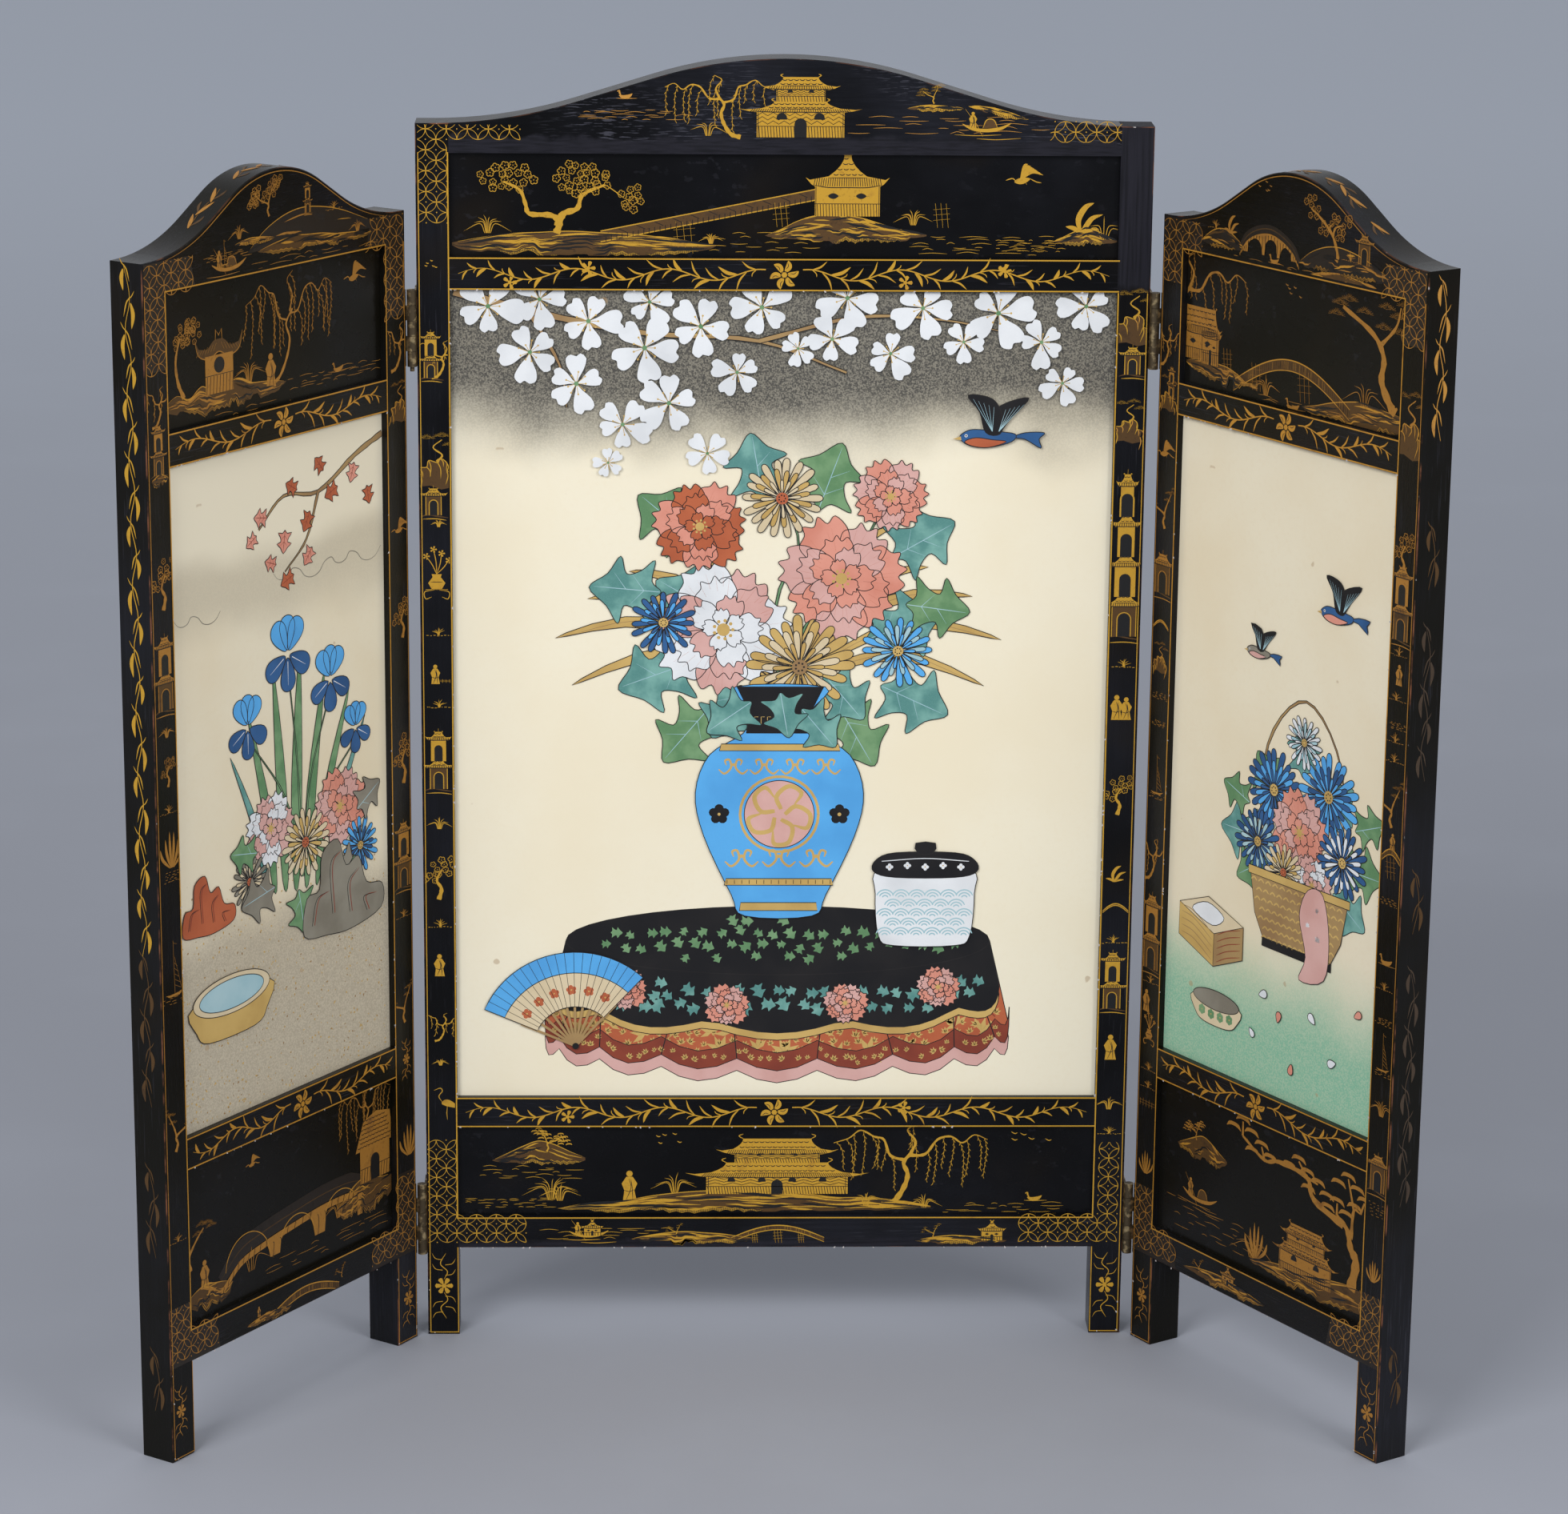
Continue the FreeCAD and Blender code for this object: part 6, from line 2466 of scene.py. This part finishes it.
def tall_vase(pen):
    """A tall blue vase with a black neck. The size reaches from below its foot to its mouth."""
    body = [-0.12 + 0.12j, -0.17 + 0.2j, -0.27 + 0.42j, -0.3 + 0.58j, -0.25 + 0.72j, -0.13 + 0.8j,
            -0.11 + 0.88j, -0.16 + 0.97j, 0.16 + 0.97j, 0.11 + 0.88j, 0.13 + 0.8j, 0.25 + 0.72j,
            0.3 + 0.58j, 0.27 + 0.42j, 0.17 + 0.2j, 0.12 + 0.12j]
    layer(pen, body, "sky")
    layer(pen, [-0.12 + 0.8j, -0.11 + 0.88j, -0.155 + 0.97j, 0.155 + 0.97j, 0.11 + 0.88j,
                0.12 + 0.8j], "black", False)
    for low, high, half in ((0.14, 0.17, 0.14), (0.235, 0.26, 0.195), (0.735, 0.76, 0.215)):
        shape(pen, [complex(-half, low), complex(half, low), complex(half * 0.97, high),
                    complex(-half * 0.97, high)], "ochre", False)
    rise(pen)
    for step in range(15):
        x = -0.185 + 0.37 * step / 14
        pen.line([complex(x, 0.24), complex(x, 0.255)], detail_width, "ink", (1, 1))
    for step in range(9):
        x = -0.09 + 0.18 * step / 8
        pen.bar([complex(x, 0.83), complex(x, 0.86), complex(x + 0.012, 0.86)], detail_width, "ochre")
    scroll_band(pen, -0.2, 0.2, 0.34, 0.08)
    scroll_band(pen, -0.22, 0.22, 0.68, 0.07)
    layer(pen, arc(0.5j, 0.125, 0, 345, 22), "rose")
    rise(pen)
    for number in range(5):
        start = turned([0.02, 0.06 + 0.03j, 0.11 + 0.0j, 0.1 - 0.05j, 0.05 - 0.04j], 72 * number,
                       1.0, 0.5j)
        pen.line(start, 0.016 * pen.size, "ochre", (0.8, 0.3))
    pen.bar(arc(0.5j, 0.14, 0, 360, 30), 0.01 * pen.size, "ochre")
    for side in (-1, 1):
        blossom_at(pen, 0.5j + side * 0.215, 0.035)


def blossom_at(pen, share, size_share, finish="black", petals=5):
    for number in range(petals):
        pen.disc(share + polar(0.6 * size_share, 90 + 360 * number / petals),
                 0.48 * size_share, finish, sides=10)
    pen.disc(share, 0.2 * size_share, "ochre", sides=8)


cloth_fall = 0.21
short_cloth_fall = 0.115


def brocade_cloth(pen):
    """A patterned cloth and a shorter dark one on a round table. The size is its width."""
    steps = 36
    rim = [complex(0.5 * p.real, 0.085 * p.imag) for p in arc(0, 1, 180, 360, steps)]

    def hem(flare, drop, scallops):
        return [complex(flare * p.real, p.imag - drop
                        - 0.03 * abs(math.sin(scallops * math.pi * step / steps)))
                for step, p in enumerate(rim)]

    def spread_out(upper, lower, finish):
        rise(pen)
        pen.strip(lower, upper, finish)
        draw_round(pen, [*upper, *lower[::-1]])
        rise(pen)
        return [*upper, *lower[::-1]]

    pleats = 9
    low = hem(1.1, cloth_fall, pleats)
    spread_out(rim, [p - 0.03j for p in low], "rose")
    front = spread_out(rim, low, "rust")
    sprinkle(pen, front, "lotus", "ochre", 15.0, 27.0)
    sprinkle(pen, front, "sprig", "ochre", 6.5, 11.0)
    border = spread_out([p + 0.045j for p in low], low, "brick")
    sprinkle(pen, border, "sprig", "ochre", 5.0, 8.0)
    for pleat in range(1, pleats):
        step = round(steps * pleat / pleats)
        top, foot = rim[step], low[step]
        bend = 0.012 * (1 if pleat % 2 else -1)
        pen.line([top, (top + foot) / 2 + bend, foot], 1.3 * outline_width, "ink", (0.4, 1))
        pen.line([top, (top + foot) / 2 + 1.8 * bend, foot + 0.05j], 2.4 * outline_width, "brick",
                 (0.2, 0.6))
    short = hem(1.05, short_cloth_fall, 5)
    spread_out(rim, [p - 0.018j for p in short], "ochre")
    dark = spread_out(rim, short, "black")
    sprinkle(pen, dark, "leaflet", "teal", 12.0, 15.0)
    layer(pen, oval(0, 0.5, 0.085, 40), "black", False)
    rise(pen)
    sprinkle(pen, oval(0, 0.49, 0.08, 40), "leaflet", "moss", 10.0, 15.0)
    for x, y in ((-0.36, -0.12), (-0.12, -0.16), (0.16, -0.155), (0.38, -0.115)):
        peony(pen.part(complex(x, y), 0.052), ("coral", "rose"))


def wave_jar(pen):
    """A squat white jar with blue waves under a black lid. The size is its width."""
    layer(pen, [-0.46 + 0.1j, -0.5 + 0.55j, -0.44 + 0.8j, 0.44 + 0.8j, 0.5 + 0.55j, 0.46 + 0.1j,
                0.3, -0.3], "white")
    rise(pen)
    for row in range(5):
        for step in range(6 - row % 2):
            middle = complex(-0.4 + 0.16 * step + 0.08 * (row % 2), 0.1 + 0.1 * row)
            for radius in (0.09, 0.06, 0.03):
                pen.line(arc(middle, radius, 160, 20, 8), 1.6 * outline_width, "mist_blue",
                         (0.7, 0.7), False)
    shape(pen, [-0.52 + 0.78j, -0.5 + 0.9j, -0.3 + 0.98j, 0.3 + 0.98j, 0.5 + 0.9j, 0.52 + 0.78j,
                0.3 + 0.72j, -0.3 + 0.72j], "black")
    layer(pen, [-0.07 + 0.97j, -0.1 + 1.08j, 0.1 + 1.08j, 0.07 + 0.97j], "black")
    for step in range(5):
        blossom_at(pen, complex(-0.36 + 0.18 * step, 0.83 + 0.015 * (step % 2)), 0.035, "white", 4)
    pen.line([-0.44 + 0.89j, 0.92j, 0.44 + 0.89j], outline_width, "white", (0.8, 0.8))


fan_ribs = 11
fan_start, fan_spread = 35, 110


def open_fan(pen):
    """An open fan with a broad coloured edge. The size is its radius."""
    rise(pen)
    for rib in range(fan_ribs):
        angle = fan_start + fan_spread * rib / (fan_ribs - 1)
        pen.line(turned([0, 0.6], angle), 3 * outline_width, "tan", (1, 1))
    rise(pen)
    outer, middle, inner = (arc(0, radius, fan_start, fan_start + fan_spread, 20)
                            for radius in (1.0, 0.78, 0.42))
    shape(pen, middle + inner[::-1], "cream", False)
    shape(pen, outer + middle[::-1], "sky", False)
    rise(pen)
    for rib in range(2 * fan_ribs - 1):
        angle = fan_start + fan_spread * rib / (2 * fan_ribs - 2)
        pen.line(turned([0.42, 1.0], angle), detail_width, "ink", (0.8, 0.8))
    for number in range(6):
        blossom_at(pen, polar(0.6, 48 + 17 * number), 0.05, "rust")
    pen.disc(0, 0.035, "black", sides=10)


def bouquet(drawing, pen):
    """The middle picture: a vase of flowers on a brocade cloth, under white blossoms."""
    brocade_cloth(pen(300, 356, 360))
    for points in ((0, -30 + 60j, -60 + 130j, -70 + 190j), (0, 20 + 70j, 62 + 130j, 96 + 200j),
                   (0, -4 + 90j, 14 + 140j, 180j)):
        twig(pen(300, 560, 1), points, 3.0, "moss")
    for angle, length in ((172, 176), (160, 200), (148, 190), (136, 176), (8, 172), (20, 196),
                          (33, 190), (46, 176), (122, 196), (60, 190)):
        drawing.level += 1
        tip = polar(length, angle)
        drooping = tip - 0.14j * length
        middle = 0.55 * tip + 0.08j * length
        plume = pen(300, 580, 1)
        shape(plume, [0, middle + 5j, drooping, middle - 5j], "ochre")
        plume.line([0, middle, drooping], detail_width, "tan")
    drawing.level += 1
    for x, y, size, angle, finish in (
            (250, 640, 62, 150, "teal"), (226, 600, 66, 200, "teal"), (240, 560, 60, 230, "moss"),
            (372, 620, 66, 20, "teal"), (384, 580, 62, -25, "teal"), (350, 560, 58, -60, "moss"),
            (284, 740, 56, 100, "teal"), (330, 730, 60, 70, "moss"), (226, 706, 58, 140, "moss"),
            (392, 690, 60, 30, "teal"), (200, 660, 60, 175, "teal"), (404, 650, 54, -8, "moss"),
            (300, 566, 56, -88, "teal"), (268, 580, 52, -120, "teal"), (336, 590, 52, -50, "teal")):
        painted_leaf(pen(x, y, size, turn=angle), finish)
    peony(pen(252, 628, 56), ("white", "rose"))
    peony(pen(350, 672, 50), ("coral", "rose"))
    aster(pen(316, 596, 44), ("ochre", "cream"))
    peony(pen(232, 716, 38), ("rust", "coral"))
    aster(pen(300, 740, 34), ("cream", "ochre"), 18, "rust")
    aster(pen(398, 610, 30), ("sky", "mist_blue"), 16, "ochre")
    aster(pen(202, 634, 27), ("deep_blue", "sky"), 16, "ochre")
    peony(pen(390, 742, 30), ("coral", "rose"))
    tall_vase(pen(300, 350, 236))
    wave_jar(pen(424, 352, 84))
    for x, y, size, angle in ((276, 566, 46, 215), (318, 560, 44, -50), (300, 574, 40, -80)):
        painted_leaf(pen(x, y, size, turn=angle), "teal")
    open_fan(pen(128, 262, 84, turn=12))
    for points, width in (((-30, 60 - 22j, 130 - 34j, 220 - 40j, 292 - 66j), 7.0),
                          ((30 - 14j, 56 - 60j, 62 - 96j), 4.0),
                          ((220 - 40j, 300 - 20j, 372 - 22j, 440 - 36j), 4.0)):
        twig(pen(60, 912, 1), points, width, "tan")
    for x, y, size in (
            (58, 900, 26), (100, 906, 22), (92, 862, 24), (140, 888, 25), (130, 836, 25),
            (186, 866, 27), (190, 904, 20), (168, 802, 22), (206, 820, 24), (232, 884, 26),
            (238, 778, 17), (262, 846, 19), (282, 900, 26), (312, 866, 15), (340, 874, 21),
            (352, 908, 24), (388, 862, 20), (414, 900, 23), (448, 872, 17), (476, 896, 27),
            (512, 872, 20), (548, 902, 22), (530, 838, 17), (156, 770, 14)):
        white_blossom(pen(x, y, size))
    small_bird(pen(446, 792, 54), "deep_blue", "rust")


def garden_stones(pen, finish):
    """Hollow garden rocks. The size is their width."""
    layer(pen, [-0.5, -0.46 + 0.3j, -0.3 + 0.34j, -0.26 + 0.62j, -0.06 + 0.7j, 0.04 + 0.46j,
                0.2 + 0.5j, 0.3 + 0.26j, 0.5 + 0.2j, 0.48, 0.1 - 0.08j, -0.2 - 0.06j], finish)
    rise(pen)
    for line in ([-0.4 + 0.06j, -0.34 + 0.26j, -0.2 + 0.3j], [-0.14 + 0.1j, -0.16 + 0.5j, -0.04 + 0.6j],
                 [0.08 + 0.06j, 0.06 + 0.3j, 0.18 + 0.4j], [0.3 + 0.02j, 0.26 + 0.14j, 0.4 + 0.14j]):
        pen.line(line, outline_width, "ink", (0.8, 0.2))
        pen.line([p + 0.03 for p in line], 1.4 * outline_width, "brick", (0.8, 0.2))


def iris(pen):
    """An iris flower, its hanging petals first. The size is its height."""
    for angles, reach, finish, vein, vein_finish, vein_width in (
            ((-150, -30, -90), 0.6, "deep_blue", [0.12, 0.5], "white", 1.6 * detail_width),
            ((60, 120, 90), 0.62, "sky", [0.1, 0.45], "deep_blue", detail_width)):
        rise(pen)
        for angle in angles:
            shape(pen, turned(petal_shares, angle, reach), finish)
            pen.line(turned(vein, angle), vein_width, vein_finish, (1, 0.2))


def blade_leaf(pen, bend, finish):
    """A sword-shaped leaf. The size is its length."""
    shape(pen, [-0.02, complex(0.3 * bend - 0.035, 0.45), complex(bend, 1),
                complex(0.3 * bend + 0.035, 0.45), 0.02], finish)


def water_garden(drawing, pen):
    """The left picture: irises and stones by a basin, with mist above."""
    for left, right, y, lobes in ((28, 92, 700, 2), (150, 298, 716, 4)):
        bank = pen(left, y, (right - left) / lobes)
        edge = [complex(lobe + 0.5, 0) + polar(0.5, 180 + 30 * step)
                * (0.75 + 0.25 * (lobe % 2)) for lobe in range(lobes) for step in range(1, 6)]
        bank.line(edge, outline_width, "stone", (0.4, 0.4))
    twig(pen(299, 800, 1), (0, -36 - 12j, -84 - 34j, -128 - 30j, -160 - 52j), 5.0, "tan")
    twig(pen(299, 800, 1), (-84 - 34j, -100 - 70j, -128 - 92j), 3.0, "tan")
    drawing.level += 1
    for x, y, size, angle in ((262, 782, 17, 250), (240, 766, 18, 200), (222, 782, 16, 130),
                              (204, 752, 18, 240), (188, 772, 16, 150), (172, 742, 19, 260),
                              (150, 756, 17, 170), (206, 722, 17, 230), (182, 704, 18, 200),
                              (160, 716, 15, 160), (278, 760, 16, 280), (136, 744, 15, 210)):
        painted_leaf(pen(x, y, size, turn=angle), "coral" if size % 2 else "rust", "brick")
    for x, y, length, bend in ((150, 452, 150, -0.2), (164, 452, 178, -0.06), (178, 450, 190, 0.05),
                               (192, 448, 170, 0.16), (206, 446, 150, 0.3), (140, 452, 118, -0.36),
                               (220, 446, 122, 0.42)):
        if bend < 0.06:
            drawing.level += 1
        blade_leaf(pen(x, y, length), bend, "moss" if length > 140 else "teal")
    for x, y, size in ((120, 590, 44), (172, 640, 52), (226, 608, 46), (258, 560, 36)):
        twig(pen(186, 450, 1), (0, complex(0.3 * (x - 186), 0.5 * (y - 450)), complex(x - 186, y - 460)),
             2.4, "moss")
        iris(pen(x, y, size))
    peony(pen(146, 500, 30), ("rose", "white"))
    peony(pen(236, 498, 34), ("coral", "rose"))
    aster(pen(190, 478, 30), ("cream", "ochre"), 18, "rust")
    aster(pen(262, 458, 24), ("sky", "deep_blue"), 16, "ochre")
    aster(pen(118, 462, 22), ("stone", "cream"), 16, "rust")
    for x, y, size, angle, finish in ((150, 450, 44, 190, "stone"), (216, 452, 44, -20, "stone"),
                                      (180, 440, 40, -80, "moss"), (128, 484, 34, 170, "moss"),
                                      (258, 490, 36, 30, "stone"), (236, 446, 40, -60, "moss")):
        drawing.level += 1
        painted_leaf(pen(x, y, size, turn=angle), finish)
    garden_stones(pen(238, 398, 104), "stone")
    garden_stones(pen(66, 436, 64), "rust")
    basin = pen(92, 346, 96)
    layer(basin, [-0.5 + 0.3j, -0.46 + 0.06j, -0.3 - 0.06j, 0.3 - 0.06j, 0.46 + 0.06j,
                  0.5 + 0.3j], "ochre")
    layer(basin, oval(0.3j, 0.5, 0.17), "cream")
    layer(basin, oval(0.3j, 0.42, 0.13), "mist_blue")
    for row in range(3):
        y = 0.05 * row
        basin.line([complex(-0.26 + 0.06 * row, 0.24 + y), complex(0.02, 0.26 + y),
                    complex(0.22, 0.23 + y)], detail_width, "white", (0.4, 0.4))
    rise(basin)
    drawing.level = 1
    for _ in range(gravel_count):
        spot = complex(basin.vary(32, 294), 275 + 190 * basin.chance.random() ** 1.3)
        drawing.copy("grain", spot, basin.vary(1.4, 3.4), basin.vary(0, 180),
                     basin.chance.choice(("ochre", "ochre", "tan")))


def basket_garden(drawing, pen):
    """The right picture: a basket of flowers on green ground, and a bird."""
    basket = pen(196, 398, 118)
    twig(pen(196, 470, 1), (-52 + 0j, -46 + 96j, 0 + 142j, 46 + 96j, 52 + 0j), 3.2, "tan")
    for x, y, size, angle, finish in (
            (170, 520, 50, 130, "moss"), (220, 520, 50, 40, "teal"), (146, 486, 52, 180, "teal"),
            (248, 486, 50, 0, "moss"), (196, 548, 44, 90, "teal"), (156, 470, 46, 210, "moss"),
            (238, 462, 46, -30, "teal"), (130, 512, 36, 160, "moss"), (262, 520, 38, 20, "moss")):
        rise(basket)
        painted_leaf(pen(x, y, size, turn=angle), finish)
    aster(pen(160, 530, 34), ("deep_blue", "sky"), 20, "ochre")
    aster(pen(228, 540, 36), ("sky", "deep_blue"), 20, "ochre")
    peony(pen(194, 502, 36), ("coral", "rose"))
    aster(pen(142, 482, 28), ("deep_blue", "mist_blue"), 18, "ochre")
    aster(pen(248, 490, 30), ("deep_blue", "white"), 18, "ochre")
    peony(pen(212, 462, 24), ("rose", "white"))
    aster(pen(176, 464, 24), ("cream", "ochre"), 16, "rust")
    aster(pen(196, 578, 22), ("white", "mist_blue"), 16, "ochre")
    layer(basket, [-0.52 + 0.5j, -0.46 + 0.2j, -0.34, 0.34, 0.46 + 0.2j, 0.52 + 0.5j], "tan", False)
    rise(basket)
    for row in range(7):
        for step in range(13):
            y = 0.035 + 0.066 * row
            half = 0.35 + 0.17 * y / 0.5
            x = half * (2 * (step + 0.5 * (row % 2) + 0.25) / 13 - 1)
            basket.line([complex(x - 0.03, y), complex(x, y + 0.02), complex(x + 0.03, y)],
                        2.0 * outline_width, "ochre", (0.6, 0.6))
    shape(basket, [-0.54 + 0.47j, -0.54 + 0.53j, 0.54 + 0.53j, 0.54 + 0.47j], "ochre", False)
    shape(basket, [-0.37 - 0.02j, -0.37 + 0.04j, 0.37 + 0.04j, 0.37 - 0.02j], "black", False)
    cloth = [0.1 + 0.5j, 0.02 + 0.3j, 0.1 + 0.02j, 0.04 - 0.16j, 0.3 - 0.1j, 0.34 + 0.2j,
             0.26 + 0.5j]
    layer(basket, cloth, "rose")
    sprinkle(basket, cloth, "sprig", "white", 5.5, 10.0)
    box = pen(86, 372, 84)
    layer(box, [-0.5 + 0.06j, -0.5 + 0.4j, 0.05 + 0.2j, 0.05 - 0.14j], "ochre", False)
    shape(box, [0.05 - 0.14j, 0.05 + 0.2j, 0.5 + 0.38j, 0.5 + 0.04j], "tan", False)
    shape(box, [-0.5 + 0.4j, -0.05 + 0.56j, 0.5 + 0.38j, 0.05 + 0.2j], "cream", False)
    rise(box)
    for row in range(5):
        y = 0.02 + 0.07 * row
        box.line([-0.46 + 1j * (y + 0.08), -0.3 + 1j * (y + 0.06), -0.16 + 1j * y,
                  0.02 + 1j * (y - 0.1)], detail_width * 1.6, "tan", (0.4, 0.4))
        box.line([0.1 + 1j * (y - 0.1), 0.26 + 1j * (y - 0.02), 0.46 + 1j * (y + 0.04)],
                 detail_width * 1.6, "brick", (0.4, 0.4))
    shape(box, [-0.3 + 0.38j, -0.06 + 0.5j, 0.2 + 0.4j, 0.02 + 0.28j], "white")
    bowl = pen(96, 310, 60)
    layer(bowl, [-0.5 + 0.36j, -0.44 + 0.1j, -0.24, 0.24, 0.44 + 0.1j, 0.5 + 0.36j], "cream")
    layer(bowl, oval(0.36j, 0.5, 0.14), "stone")
    for step in range(4):
        blossom_at(bowl, complex(-0.3 + 0.2 * step, 0.16 - 0.02 * (step in (1, 2))), 0.07, "moss", 6)
        bowl.disc(complex(-0.24 + 0.16 * step, 0.38), 0.1, "ochre", sides=14)
    small_bird(pen(210, 690, 46), "deep_blue", "coral")
    small_bird(pen(120, 640, 34), "stone", "rose")
    for x, y, size, angle in ((150, 352, 12, 20), (176, 334, 11, 80), (224, 346, 12, 140),
                              (252, 322, 12, 200), (196, 306, 11, 260), (140, 322, 10, 310),
                              (270, 366, 11, 30)):
        drawing.level += 1
        shape(pen(x, y, size, turn=angle), petal_shares, "coral" if size % 2 else "white")


picture_gap = 0.2
for body, paint in (("centre", bouquet), ("left_wing", water_garden),
                    ("right_wing", basket_garden)):
    drawing = Picture(boards[body], None)
    paint(drawing, drawing.pen)
    grow(drawing, pigments)
    low, high = layouts[body].picture
    side = stile_width + picture_gap
    framed = Picture(boards[body], None)
    framed.add_cut(drawing, (side, layouts[body].width - side, low + picture_gap, high - picture_gap))
    framed.build(body + "_picture", pigments, "picture_board")


for thing in motif_objects.values():
    bpy.data.objects.remove(thing)
